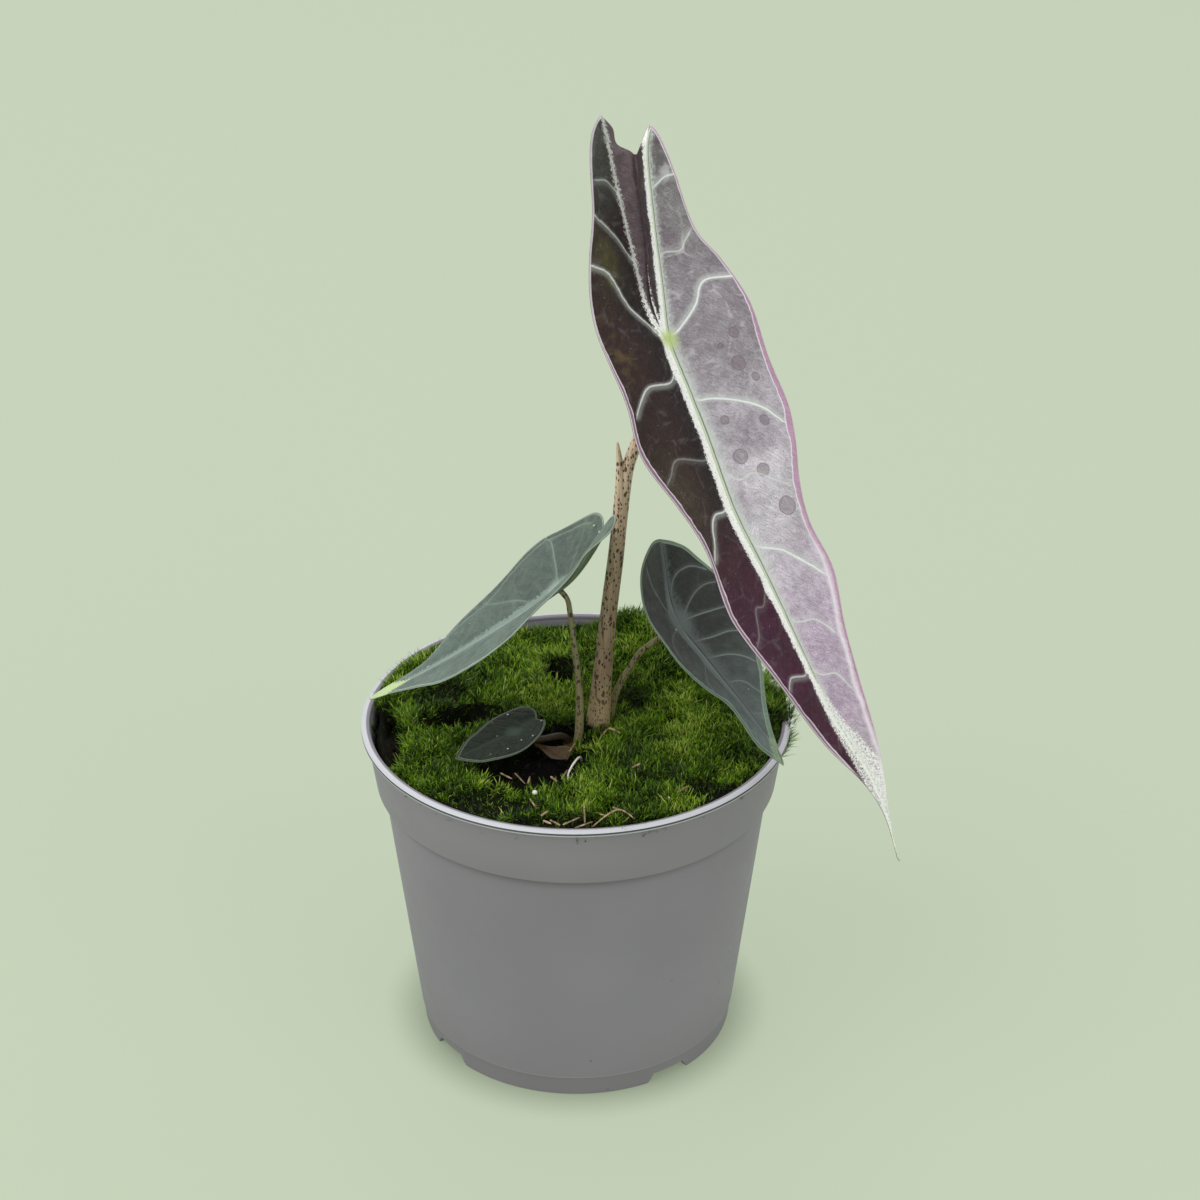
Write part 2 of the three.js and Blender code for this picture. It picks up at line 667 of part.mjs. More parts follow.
// A dry, curled scale leaf lies in the hollow beside the stem
const scaleLeaf = simpleLeaf({
  junction: vec(-2.3, -19, 94.9),
  heading: -126,
  droop: 94,
  baseCurl: 0,
  wave: 0.4,
  waveLength: 9,
  rows: 8,
  shares: [0, 0.5, 1],
  keel: 0,
  thickness: 0.6,
  leftFold: [25, 25],
  rightFold: [30, 30],
  spine: [[0, 0], [5, 0.4], [11.5, 0]],
  leftEdge: [[0, 0], [0.6, -2.8], [4, -3.2], [11.5, 0]],
  rightEdge: [[0, 0], [0.4, 2.8], [4.5, 2.8], [11.5, 0]],
});

// The petiole ends square against the keel of its blade
function underJunction(leaf, below) {
  const frame = leafFrame(leaf);
  return leafPoint(frame, 0, leaf.strips[0].vein === leaf.spine ? 0 : -0.5, -below);
}

function petioleTop(leaf) {
  return underJunction(leaf, leaf.thickness / 2 + leaf.keel + JOINT_GAP);
}

const PETIOLES = {
  petiole_main: {
    route: [
      vec(6, -1.8, PETIOLE_FOOT), vec(6.3, -1.6, 98), vec(7.7, -1.1, 115), vec(9.1, -0.8, 131),
      vec(10.9, -0.4, 147), vec(12.4, -0.1, 162), vec(14.2, 0, 175), vec(17.4, 0.2, 185), vec(21, -0.8, 199),
      underJunction(mainLeaf, 7), petioleTop(mainLeaf),
    ],
    radii: [3.5, 3.3, 2.6, 2.3, 2.2, 2, 1.7, 1.55, 1.45, 1.4, 1.5],
    sides: 12,
    steps: 26,
  },
  petiole_left: {
    route: [
      vec(0.5, -7.6, PETIOLE_FOOT), vec(0.9, -7.6, 97), vec(1.2, -7.6, 107), vec(0.4, -7.4, 118),
      vec(-0.5, -7.2, 126), vec(-1.4, -7, 134.5), underJunction(leftLeaf, 4), petioleTop(leftLeaf),
    ],
    radii: [1.35, 1.25, 1.1, 0.95, 0.8, 0.75, 0.7, 0.75],
    sides: 8,
    steps: 18,
  },
  petiole_right: {
    route: [
      vec(9.6, 2.6, PETIOLE_FOOT), vec(9.8, 2.2, 98), vec(10.8, 1.5, 103), vec(12.6, 0.6, 108.3),
      vec(15.4, -1, 114.5), vec(18.4, -2.4, 120.2), underJunction(rightLeaf, 4), petioleTop(rightLeaf),
    ],
    radii: [1.2, 1.15, 1.05, 1, 0.9, 0.85, 0.8, 0.75],
    sides: 8,
    steps: 16,
  },
  petiole_small: {
    route: [
      vec(-2.4, -5.6, PETIOLE_FOOT), vec(-2.8, -6, 94.2), vec(-4.8, -8, 96), vec(-9.2, -11.5, 97.2),
      vec(-14, -14.3, 98.6), petioleTop(smallLeaf),
    ],
    radii: [1.1, 1.1, 1, 0.9, 0.75, 0.7],
    sides: 8,
    steps: 14,
  },
};

const material = (color, roughness) => new THREE.MeshStandardMaterial({ color, roughness, metalness: 0 });
const plant = new THREE.Group();

function add(name, geometry, look) {
  const mesh = new THREE.Mesh(geometry, look);
  mesh.name = name;
  plant.add(mesh);
}

const cutters = [stemSolid(PIECE_GAP)];
for (const petiole of Object.values(PETIOLES)) {
  cutters.push(petioleSolid(petiole, PIECE_GAP));
}

add('pot', potGeometry(), material(0x7b7b79, 0.6));
add('soil', soilGeometry(cutters), material(0x2b211a, 1));
add('moss', mossGeometry(cutters), material(0x567a16, 1));
add('rhizome', toGeometry(stemSolid(0)), material(0x8a6f52, 0.9));

for (const [name, petiole] of Object.entries(PETIOLES)) {
  const stalk = petioleSolid(petiole, 0);
  const whole = name === 'petiole_main'
    ? stalk.add(toSolid(taperedTube(SHEATH_ROUTE, SHEATH_RADII, 8, 10)))
    : stalk;
  add(name, toGeometry(whole), material(0x9a8268, 0.6));
}

add('blade_main', bladeGeometry(mainLeaf), material(0x75656f, 0.5));
add('blade_left', bladeGeometry(leftLeaf), material(0x72877a, 0.5));
add('blade_right', bladeGeometry(rightLeaf), material(0x555f5c, 0.5));
add('blade_small', bladeGeometry(smallLeaf), material(0x33442f, 0.5));
add('scale_leaf_dry', bladeGeometry(scaleLeaf), material(0x7a5236, 0.9));

export default plant;
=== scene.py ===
"""Looks of a young potted alocasia: blades with veins, petioles, moss, soil and a grey plastic pot.

Lengths in the tables are millimetres in the part's own frame; meshes are made in metres.
"""

import math
from types import SimpleNamespace

import bpy
import numpy as np
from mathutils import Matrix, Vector


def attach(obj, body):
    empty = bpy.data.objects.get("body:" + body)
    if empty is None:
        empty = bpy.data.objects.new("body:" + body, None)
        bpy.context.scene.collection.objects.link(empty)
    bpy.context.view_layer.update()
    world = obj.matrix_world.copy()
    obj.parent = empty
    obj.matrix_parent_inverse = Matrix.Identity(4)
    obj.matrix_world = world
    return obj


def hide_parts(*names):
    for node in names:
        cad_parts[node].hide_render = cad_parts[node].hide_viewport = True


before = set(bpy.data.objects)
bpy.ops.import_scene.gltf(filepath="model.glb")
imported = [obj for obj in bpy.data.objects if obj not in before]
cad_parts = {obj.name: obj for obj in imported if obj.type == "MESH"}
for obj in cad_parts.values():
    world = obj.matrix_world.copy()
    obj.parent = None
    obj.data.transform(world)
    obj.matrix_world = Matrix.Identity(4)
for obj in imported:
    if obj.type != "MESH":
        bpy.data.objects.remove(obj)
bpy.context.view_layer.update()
MM = 0.001
TAU = 2 * math.pi


# Numbers and curves


def smooth(low, high, x):
    t = np.clip((np.asarray(x, float) - low) / (high - low), 0, 1)
    return t * t * (3 - 2 * t)


def mix(a, b, share):
    return a + (b - a) * share


def bell(distance, width):
    return np.exp(-((np.asarray(distance) / width) ** 2))


def linear(*srgb):
    c = np.array(srgb, float) / 255
    return np.where(c <= 0.04045, c / 12.92, ((c + 0.055) / 1.055) ** 2.4)


def spline(points, t):
    """A smooth curve through the points; t runs from 0 to the last point's number."""
    p = np.asarray(points, float)
    last = len(p) - 1
    t = np.asarray(t, float)
    i = np.clip(np.floor(t).astype(int), 0, last - 1)
    w = (t - i)[:, None]
    a, b = p[np.maximum(i - 1, 0)], p[i]
    c, d = p[i + 1], p[np.minimum(i + 2, last)]
    v0, v1 = (c - a) / 2, (d - b) / 2
    return (2 * b - 2 * c + v0 + v1) * w**3 + (-3 * b + 3 * c - 2 * v0 - v1) * w**2 + v0 * w + b


def even_points(points, start, end, count):
    """count + 1 points at even arc length between two control points of a smooth curve."""
    fine = spline(points, np.linspace(start, end, 1200))
    length = np.r_[0, np.cumsum(np.linalg.norm(np.diff(fine, axis=0), axis=1))]
    wanted = np.linspace(0, length[-1], count + 1)
    return np.stack([np.interp(wanted, length, fine[:, k]) for k in range(fine.shape[1])], 1)


def value_noise(x, y, scale, seed):
    """Smooth random field from -1 to 1."""
    random = np.random.default_rng(seed)
    grid = random.uniform(-1, 1, (64, 64))
    u, v = np.asarray(x) / scale + 31.7, np.asarray(y) / scale + 17.3
    iu, iv = np.floor(u).astype(int), np.floor(v).astype(int)
    fu, fv = smooth(0, 1, u - iu), smooth(0, 1, v - iv)
    at = lambda i, j: grid[i % 64, j % 64]
    low = mix(at(iu, iv), at(iu + 1, iv), fu)
    high = mix(at(iu, iv + 1), at(iu + 1, iv + 1), fu)
    return mix(low, high, fv)


def line_distance(points, lines):
    """Least distance from each flat point to a set of polylines."""
    best = np.full(len(points), 1e9)
    for line in lines:
        a, b = line[:-1], line[1:]
        run = b - a
        size = np.maximum((run**2).sum(1), 1e-12)
        for k in range(len(a)):
            t = np.clip(((points - a[k]) @ run[k]) / size[k], 0, 1)
            gap = points - a[k] - t[:, None] * run[k]
            best = np.minimum(best, (gap**2).sum(1))
    return np.sqrt(best)


def signed_distance(points, lines, forces):
    """Distance to the nearest line, once with the side as its sign and once without, and its force."""
    best, signed = np.full(len(points), 60.0), np.full(len(points), 60.0)
    force = np.zeros(len(points))
    for line, own in zip(lines, forces):
        for start, end in zip(line[:-1], line[1:]):
            run = end - start
            t = np.clip(((points - start) @ run) / max(run @ run, 1e-9), 0, 1)
            gap = points - start - t[:, None] * run
            length = np.hypot(gap[:, 0], gap[:, 1])
            side = np.sign(run[0] * gap[:, 1] - run[1] * gap[:, 0])
            nearer = length < best
            best = np.where(nearer, length, best)
            signed = np.where(nearer, length * side, signed)
            force = np.where(nearer, own, force)
    return signed, best, force


def cell_edges(points, size, seed):
    """Distance to the edges of random cells, drawn out across the blade."""
    random = np.random.default_rng(seed)
    warp = np.stack([value_noise(*points.T, size, seed), value_noise(*points.T, size, seed + 1)], 1)
    spots = (points + 0.35 * size * warp) / size * [1.25, 0.8]
    low, high = spots.min(0) - 1, spots.max(0) + 1
    seeds = random.uniform(low, high, (int(np.prod(high - low)), 2))
    first, second = np.full(len(points), 1e9), np.full(len(points), 1e9)
    for seed_point in seeds:
        gap = np.hypot(*(spots - seed_point).T)
        second = np.minimum(second, np.maximum(first, gap))
        first = np.minimum(first, gap)
    return (second - first) / 2 * size


# Meshes and materials


def mesh_object(name, points, faces, smooth_faces=True):
    points = np.asarray(points, np.float32) * MM
    faces = np.asarray(faces, np.int32)
    count, corners = faces.shape
    mesh = bpy.data.meshes.new(name)
    mesh.vertices.add(len(points))
    mesh.vertices.foreach_set("co", points.ravel())
    mesh.loops.add(count * corners)
    mesh.loops.foreach_set("vertex_index", faces.ravel())
    mesh.polygons.add(count)
    mesh.polygons.foreach_set("loop_start", np.arange(0, count * corners, corners, dtype=np.int32))
    mesh.polygons.foreach_set("use_smooth", np.full(count, smooth_faces))
    mesh.update(calc_edges=True)
    made = bpy.data.objects.new(name, mesh)
    bpy.context.scene.collection.objects.link(made)
    return made


def ring_faces(rings, sides):
    """Triangles of a closed stack of rings; its points end with the first and the last ring's centre."""
    i, j = np.meshgrid(np.arange(rings - 1), np.arange(sides), indexing="ij")
    a, b = (i * sides + j).ravel(), (i * sides + (j + 1) % sides).ravel()
    here = np.arange(sides)
    after = (here + 1) % sides
    centre = np.full(sides, rings * sides)
    last = (rings - 1) * sides
    return np.concatenate([
        np.stack([a, b, b + sides], 1), np.stack([a, b + sides, a + sides], 1),
        np.stack([centre, after, here], 1), np.stack([centre + 1, last + here, last + after], 1)])


def join(parts):
    """Several (points, faces) as one."""
    vertices, faces, offset = [], [], 0
    for points, own_faces in parts:
        vertices.append(points)
        faces.append(own_faces + offset)
        offset += len(points)
    return np.concatenate(vertices), np.concatenate(faces)


def set_number(piece, name, values):
    attribute = piece.data.attributes.new(name, "FLOAT", "POINT")
    attribute.data.foreach_set("value", np.asarray(values, np.float32))


def set_color(piece, name, rgb):
    rgba = np.ones((len(rgb), 4), np.float32)
    rgba[:, :3] = rgb
    attribute = piece.data.attributes.new(name, "FLOAT_COLOR", "POINT")
    attribute.data.foreach_set("color", rgba.ravel())


def set_uv(piece, name, uv):
    """A UV map given for each vertex."""
    index = np.empty(len(piece.data.loops), np.int32)
    piece.data.loops.foreach_get("vertex_index", index)
    layer = piece.data.uv_layers.new(name=name)
    layer.data.foreach_set("uv", np.asarray(uv, np.float32)[index].ravel())


def place(piece, look, slot, *nodes):
    piece.data.materials.append(look)
    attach(piece, "root")
    if nodes:
        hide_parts(*nodes)
    return piece


class Wire:
    """A node's output, which plain arithmetic works on."""

    def __init__(self, look, socket):
        self.look = look
        self.socket = socket

    def __add__(self, other):
        return self.look.math("ADD", self, other)

    def __sub__(self, other):
        return self.look.math("SUBTRACT", self, other)

    def __mul__(self, other):
        return self.look.math("MULTIPLY", self, other)

    def __abs__(self):
        return self.look.math("ABSOLUTE", self)


class Look:
    """A material and short ways to make its nodes; each gives one output as a Wire."""

    def __init__(self, name, **sockets):
        self.material = bpy.data.materials.new(name)
        self.material.use_nodes = True
        self.tree = self.material.node_tree
        self.shader = self.tree.nodes["Principled BSDF"]
        for key, value in sockets.items():
            self.set(key.replace("_", " "), value)

    def set(self, socket, value):
        self.connect(self.shader.inputs[socket], value)

    def connect(self, socket, value):
        if isinstance(value, Wire):
            self.tree.links.new(value.socket, socket)
        else:
            socket.default_value = value

    def node(self, kind, inputs=None, output=0, **settings):
        made = self.tree.nodes.new(kind)
        for key, value in settings.items():
            setattr(made, key, value)
        for key, value in (inputs or {}).items():
            self.connect(made.inputs[key], value)
        return Wire(self, made.outputs[output])

    def attribute(self, name, output="Fac"):
        return self.node("ShaderNodeAttribute", output=output, attribute_name=name)

    def uv(self, name):
        return self.node("ShaderNodeUVMap", uv_map=name)

    def place(self):
        return self.node("ShaderNodeTexCoord", output="Object")

    def axis(self, vector, number):
        return self.node("ShaderNodeSeparateXYZ", {0: vector}, number)

    def off_axis(self, vector):
        """Distance from the upright axis of the pot."""
        flat = self.node("ShaderNodeVectorMath", {0: vector, 1: (1, 1, 0)}, operation="MULTIPLY")
        return self.length(flat)

    def length(self, vector):
        return self.node("ShaderNodeVectorMath", {0: vector}, "Value", operation="LENGTH")

    def stretch(self, vector, scale):
        return self.node("ShaderNodeMapping", {"Vector": vector, "Scale": scale})

    def math(self, operation, a, b=0.0):
        return self.node("ShaderNodeMath", {0: a, 1: b}, operation=operation)

    def span(self, value, low, high, to_low=0.0, to_high=1.0):
        inputs = {0: value, 1: low, 2: high, 3: to_low, 4: to_high}
        return self.node("ShaderNodeMapRange", inputs, interpolation_type="SMOOTHSTEP")

    def blend(self, share, a, b, kind="MIX"):
        return self.node("ShaderNodeMix", {0: share, 6: a, 7: b}, 2, data_type="RGBA", blend_type=kind)

    def shade(self, color, value):
        """The colour times a number."""
        grey = self.node("ShaderNodeCombineXYZ", {0: value, 1: value, 2: value})
        return self.blend(1.0, color, grey, "MULTIPLY")

    def noise(self, vector, scale, detail=3.0, roughness=0.55, distortion=0.0, output="Fac"):
        inputs = {
            "Vector": vector, "Scale": scale, "Detail": detail,
            "Roughness": roughness, "Distortion": distortion,
        }
        return self.node("ShaderNodeTexNoise", inputs, output)

    def cells(self, vector, scale, feature="F1", output="Distance", jitter=1.0):
        inputs = {"Vector": vector, "Scale": scale, "Randomness": jitter}
        return self.node("ShaderNodeTexVoronoi", inputs, output, feature=feature)

    def ramp(self, value, stops):
        made = self.node("ShaderNodeValToRGB", {"Fac": value})
        elements = made.socket.node.color_ramp.elements
        while len(elements) < len(stops):
            elements.new(0.5)
        for element, (at, rgb) in zip(elements, stops):
            element.position = at
            element.color = (*rgb, 1)
        return made

    def bump(self, height, strength, distance):
        inputs = {"Height": height, "Strength": strength, "Distance": distance}
        self.set("Normal", self.node("ShaderNodeBump", inputs))


def rgba(*srgb):
    return (*linear(*srgb), 1.0)


# Blades: flat outlines [along the midrib towards the tip, across], hung from the junction

MAIN_MIDRIB = [(0, -0.5), (25, -2.4), (47, -4.6), (66, -3.4), (105, -0.6), (127, 4.6), (149, 3.4)]
MAIN_LEFT_VEIN = [(-59, 2), (-46, 2), (-27, 0.4), (-9, -2.5), (0, -0.5)]
MAIN_RIGHT_VEIN = [(-53, 18), (-47, 14.9), (-30, 10.5), (-13, 5.2), (0, -0.5)]
MAIN_LEFT_EDGE = [
    (-59, 2), (-54, -3.7), (-38, -10.6), (-26, -18.2), (-15, -23), (-1, -26.5), (12, -28), (25, -30.3),
    (40, -25.4), (54, -22.5), (68, -23.4), (76, -22.4), (92, -17), (112, -7.8), (126, 0), (137, 3.4),
    (149, 3.4),
]
MAIN_RIGHT_EDGE = [
    (-53, 18), (-50, 19.5), (-38, 21), (-24, 21.8), (-14, 24.8), (-1, 26), (14, 24.6), (27, 23.5),
    (37, 20.4), (47, 16.8), (58, 15.2), (71, 15.7), (85, 12.7), (100, 11.4), (123, 8.5), (136, 6), (149, 3.4),
]
OVERLAP = 0.4
MAIN_LEFT_INNER = [
    (-59, 2), (-55, 4.6), (-51, 4.9), (-46.3, 8.2 + OVERLAP), (-38, 6.3 + OVERLAP),
    (-26, 3.8 + OVERLAP), (-11, -0.1), (0, -0.5),
]
MAIN_RIGHT_INNER = [
    (-53, 18), (-50, 14.6), (-47, 10.4), (-46.3, 8.2 - OVERLAP), (-38, 6.3 - OVERLAP),
    (-26, 3.8 - OVERLAP), (-11, -0.7), (0, -0.5),
]


class Strip:
    """The part of a blade between a vein and a margin; its side is -1 or 1, or -2 or 2 at the lobes' seam."""

    def __init__(self, vein, margin, start=0, end=None, rows=0, columns=0, fold=(18, 18), lobe_fold=None,
                 flatten=0.3, phase=0, flip=False, side=1):
        self.vein = vein
        self.margin = margin
        self.start = start
        self.end = len(margin) - 1 if end is None else end
        self.rows = rows
        self.columns = columns
        self.fold = fold
        self.lobe_fold = fold[0] if lobe_fold is None else lobe_fold
        self.flatten = flatten
        self.phase = phase
        self.flip = flip
        self.side = side


def two_strips(leaf):
    """The left and the right half of a leaf with one midrib."""
    shared = {"rows": leaf["rows"], "columns": leaf["columns"]}
    left_fold, right_fold = leaf["folds"]
    lobe = leaf.get("lobe_fold", right_fold[0])
    return [
        Strip(leaf["spine"], leaf["left"], fold=left_fold, side=-1, **shared),
        Strip(leaf["spine"], leaf["right"], fold=right_fold, lobe_fold=lobe, phase=2.2, flip=True, **shared),
    ]


# Each leaf hangs from its junction: heading, droop and folds are in degrees, and arch and curl bend the
# blade before and behind the junction. Each of its laterals, the side veins, has a force from 0 to 1.
# bands are the left and right margin's widths, cell is the net's size, and spots are [along, across, radius].
SEAM = {"rows": 100, "columns": 12, "fold": (22, 22), "flatten": 0}
LEAVES = {
    "main": {
        "junction": (24.4, -4, 213.6), "heading": 45, "droop": 38, "arch": 0.0005, "curl": 0.0035,
        "wave": 0.6, "wave_length": 41, "thickness": 0.8, "keel": 1.1, "reach": 149, "fold_end": 1e9,
        "ribs": [MAIN_MIDRIB, MAIN_LEFT_VEIN, MAIN_RIGHT_VEIN],
        "strips": [
            Strip(MAIN_LEFT_VEIN, MAIN_LEFT_EDGE, 0, 5, rows=100, columns=40, side=-1),
            Strip(MAIN_MIDRIB, MAIN_LEFT_EDGE, 5, 16, rows=260, columns=40, side=-1),
            Strip(MAIN_RIGHT_VEIN, MAIN_RIGHT_EDGE, 0, 5, rows=100, columns=40, phase=2, flip=True),
            Strip(MAIN_MIDRIB, MAIN_RIGHT_EDGE, 5, 16, rows=260, columns=40, phase=2, flip=True),
            Strip(MAIN_LEFT_VEIN, MAIN_LEFT_INNER, side=-2, flip=True, **SEAM),
            Strip(MAIN_RIGHT_VEIN, MAIN_RIGHT_INNER, side=2, **SEAM),
        ],
        "laterals": [
            [(-3, -3), (-6.2, -5), (-11.3, -9), (-20.4, -12.4), (-23.2, -15.9), (-24, -18.3)],
            [(6, -1.2), (10.5, -6.9), (9.7, -16.5), (12, -21.6), (15.3, -26)],
            [(29, -3), (32.4, -7.4), (29.5, -17.9), (32.6, -22.7), (33.9, -24.9)],
            [(44, -4.5), (46.4, -8.2), (46.4, -13.2), (49.5, -16.4), (54.3, -19), (56.8, -20.7)],
            [(67, -3.4), (72.6, -9.3), (72.6, -13.2), (79.1, -16.3), (80.9, -18.3)],
            [(90, -1.8), (93.7, -4.4), (92.6, -10.8), (94.7, -13.6)],
            [(-38.5, 1.6), (-41, 0.4), (-43.4, -2.1), (-44.1, -6.2)],
            [(-22, -0.6), (-28.4, -4.3), (-32.9, -8.1), (-35.6, -11)],
            [(-1, 0.6), (-1.3, 3.8), (-5.8, 11.7), (-9.5, 15), (-10.6, 18.2), (-8.6, 25.3)],
            [(12, -1.4), (17, -0.4), (18.5, 3.7), (21.9, 10.3), (26, 15.6), (31.5, 19.4)],
            [(34, -3.2), (40.5, 0.1), (40.6, 5.1), (44.6, 9.7), (47.6, 13.4)],
            [(54, -4), (58.3, -2.1), (62.1, 4), (68.5, 9.7), (72.2, 12.6)],
            [(75, -2.8), (80.2, -0.4), (82, 5.1), (87.1, 9)],
            [(91, -1.8), (95.5, 0.7), (97.2, 5), (102.3, 7.8)],
            [(-36, 12), (-37.5, 13), (-38.5, 15.2), (-39.3, 17.7), (-38.9, 20.5)],
            [(-20, 7.6), (-21.4, 10.4), (-20.3, 14.6), (-22.2, 17.1), (-23.7, 19.4)],
        ],
        "forces": [0.8, 0.8, 0.2, 0.85, 0.16, 0.6, 0.35, 0.5, 0.95, 0.95, 0.35, 0.9, 0.45, 0.45, 0.7, 0.45],
        "bands": (1.3, 2.4), "cell": 6.5, "spots": [
            (5.1, 17.2, 1.35), (12.9, 14.8, 1.9), (17.9, 17.7, 1.1), (6.9, 12, 0.7), (29.3, 14.5, 1.35),
            (35.3, 3.5, 1.9), (40.9, 7.8, 1.6), (52, 10.2, 2.4), (25, 4, 1.1),
        ],
    },
    "left": {
        "junction": (-4.3, -7, 141.9), "heading": -92, "droop": 56, "arch": 0, "curl": 0.018,
        "wave": 0.35, "wave_length": 26, "thickness": 0.7, "keel": 0.5, "reach": 60, "fold_end": 28,
        "spine": [(-19, -3), (-11, -2.5), (0, 0), (17, 3), (38, 3.8), (51, 2.7), (63.7, 0)],
        "left": [
            (-19, -3), (-19.6, -8), (-15.6, -15.6), (-8, -22), (0, -23.8), (7, -22.2), (16, -17.4),
            (25, -12.2), (35, -6.3), (43, -1.6), (54, 0.2), (63.7, 0),
        ],
        "right": [
            (-19, -3), (-22.5, 0.5), (-27, 6), (-27, 11.5), (-20.5, 12.5), (-12.5, 12.5), (-4, 15.8), (4, 20),
            (14, 20), (24, 19.5), (37, 16.2), (43, 13.1), (50, 9), (57, 3.8), (63.7, 0),
        ],
        "folds": ((16, 16), (22, 5)), "lobe_fold": -5, "cell": 4.5, "rows": 160, "columns": 36,
        "laterals": [
            [(0, -0.3), (-0.1, -9.8), (0.4, -19.3), (1.6, -22)],
            [(7.8, 1), (12.2, -3), (16.2, -5.4), (22.6, -8.8)],
            [(-14.2, -13), (-8.5, -18.8), (1.6, -21.8), (8.5, -19.2), (15.3, -15.2), (19, -12),
             (23.2, -9.3), (31.8, -6.1), (38.7, -3.4), (46, -1.2)],
            [(-1, -0.8), (-4.4, -3.9), (-8.7, -10.7), (-12.6, -15.8)],
            [(0.5, 0.4), (4, 6.5), (11, 12.5), (16, 16.5)],
            [(14, 2.6), (20, 8), (27, 13.5)],
            [(27, 3.6), (33, 8.5), (38.5, 12)],
            [(-2, -0.3), (-9, 1.8), (-14, 6), (-19, 9)],
        ],
        "forces": [0.8, 0.55, 0.6, 0.3, 0.25, 0.25, 0.25, 0.25],
    },
    "right": {
        "junction": (27.8, -6, 130.6), "heading": 50, "droop": 50.7, "arch": 0, "curl": 0.02,
        "wave": 0.3, "wave_length": 24, "thickness": 0.7, "keel": 0.5, "reach": 60, "fold_end": 1e9,
        "spine": [(-21, 5.5), (-14, 4.6), (0, 0), (12, 0.2), (30, 1.2), (44, 1.2), (48.2, 0)],
        "left": [
            (-21, 5.5), (-20.6, -0.8), (-16, -8.2), (-8.4, -11.4), (2, -12.9), (9, -13.3),
            (15, -11.6), (21, -8.7), (27, -5.6), (39, -5.5), (44, -3.4), (48.2, 0),
        ],
        "right": [
            (-21, 5.5), (-18.2, 10), (-14, 13.8), (-4, 17.6), (5, 17.1), (14, 15.2), (23, 11.8), (32, 6.9),
            (40, 3.1), (48.2, 0),
        ],
        "folds": ((26, 26), (26, 26)), "bands": (0.9, 1.3), "cell": 4, "rows": 150, "columns": 34,
        "laterals": [
            [(0.2, 0.4), (1.2, 5.6), (3.6, 13.5)],
            [(6.7, 0.6), (8.5, 5.5), (9.6, 9.9), (11.3, 13)],
            [(12.4, 0.6), (14.8, 6), (17.5, 9.2), (20.5, 11)],
            [(21, 1.2), (23.2, 5), (28.8, 7.2)],
            [(31.1, 1), (33.4, 4.4)],
            [(-0.3, 0.8), (-6.1, 2.6), (-8.9, 4), (-11.3, 7), (-10.9, 11.7), (-7.9, 15)],
            [(-0.1, 1.5), (-3.7, 7.2), (-4.7, 11.7), (-3.6, 15.3)],
            [(-0.3, -0.5), (-7.1, -3.2), (-12.1, -5.1), (-15.5, -5.6)],
            [(1.3, 0.1), (2.6, -6.3), (5.6, -10.2), (10.5, -11.4)],
            [(13, -0.6), (17.3, -6.2), (21.5, -7.4)],
        ],
        "forces": [0.75, 0.7, 0.7, 0.6, 0.4, 0.6, 0.5, 0.6, 0.35, 0.35],
    },
    "small": {
        "junction": (-16.9, -15.5, 101.5), "heading": -55.5, "droop": 87, "arch": 0, "curl": 0,
        "wave": 0.15, "wave_length": 14, "thickness": 0.7, "keel": 0.2, "reach": 60, "fold_end": 1e9,
        "spine": [(-9, -2), (-4.8, -1.3), (0, 0), (12, 0.8), (19.6, 0.8)],
        "left": [
            (-9, -2), (-10.3, -4.6), (-9.7, -7.5), (-6.7, -9), (-0.5, -8.8), (7, -6.5), (13.5, -3.9),
            (19.6, 0.8),
        ],
        "right": [
            (-9, -2), (-10, 0.4), (-8, 3.2), (-3.7, 7), (1.4, 9.5), (6.7, 10.1), (11.8, 9.4), (16, 7),
            (19.6, 0.8),
        ],
        "folds": ((8, 8), (8, 8)), "cell": 2.5, "rows": 70, "columns": 24,
    },
    "scale": {
        "junction": (-2.3, -19, 94.9), "heading": -126, "droop": 94, "arch": 0, "curl": 0,
        "wave": 0.4, "wave_length": 9, "thickness": 0.35, "keel": 0, "reach": 60, "fold_end": 1e9,
        "spine": [(0, 0), (5, 0.4), (11.5, 0)],
        "left": [(0, 0), (0.6, -2.8), (4, -3.2), (11.5, 0)],
        "right": [(0, 0), (0.4, 2.8), (4.5, 2.8), (11.5, 0)],
        "folds": ((25, 25), (30, 30)), "rows": 40, "columns": 14,
    },
}


def leaf_axes(leaf):
    """Directions along and across a leaf's flat plane, and upwards from it."""
    heading, droop = math.radians(leaf["heading"]), math.radians(leaf["droop"])
    out = np.array([math.sin(heading), -math.cos(heading), 0])
    along = out * math.sin(droop) - np.array([0, 0, math.cos(droop)])
    across = np.array([math.cos(heading), math.sin(heading), 0])
    up = out * math.cos(droop) + np.array([0, 0, math.sin(droop)])
    return along, across, up


def on_leaf(leaf, flat, height):
    """Flat points of a leaf, each raised by its height, in the part's frame."""
    along, across, up = leaf_axes(leaf)
    start = np.array(leaf["junction"], float)
    return start + flat[:, :1] * along + flat[:, 1:2] * across + np.asarray(height)[:, None] * up


def strip_height(leaf, strip, flat, share, width):
    """How far the blade's middle stands off its flat plane."""
    a = flat[:, 0]
    bend = np.where(a < 0, leaf["curl"] * a * a, -leaf["arch"] * a * a)
    base, tip = strip.fold
    forward = mix(base, tip, smooth(0, leaf["fold_end"], a))
    fold = np.radians(mix(forward, strip.lobe_fold, smooth(14, 30, -a)))
    rise = np.tan(fold) * width * share * (1 - strip.flatten * share)
    wave = leaf["wave"] * share**2 * np.sin(a / leaf["wave_length"] * TAU + strip.phase)
    return bend + rise + wave


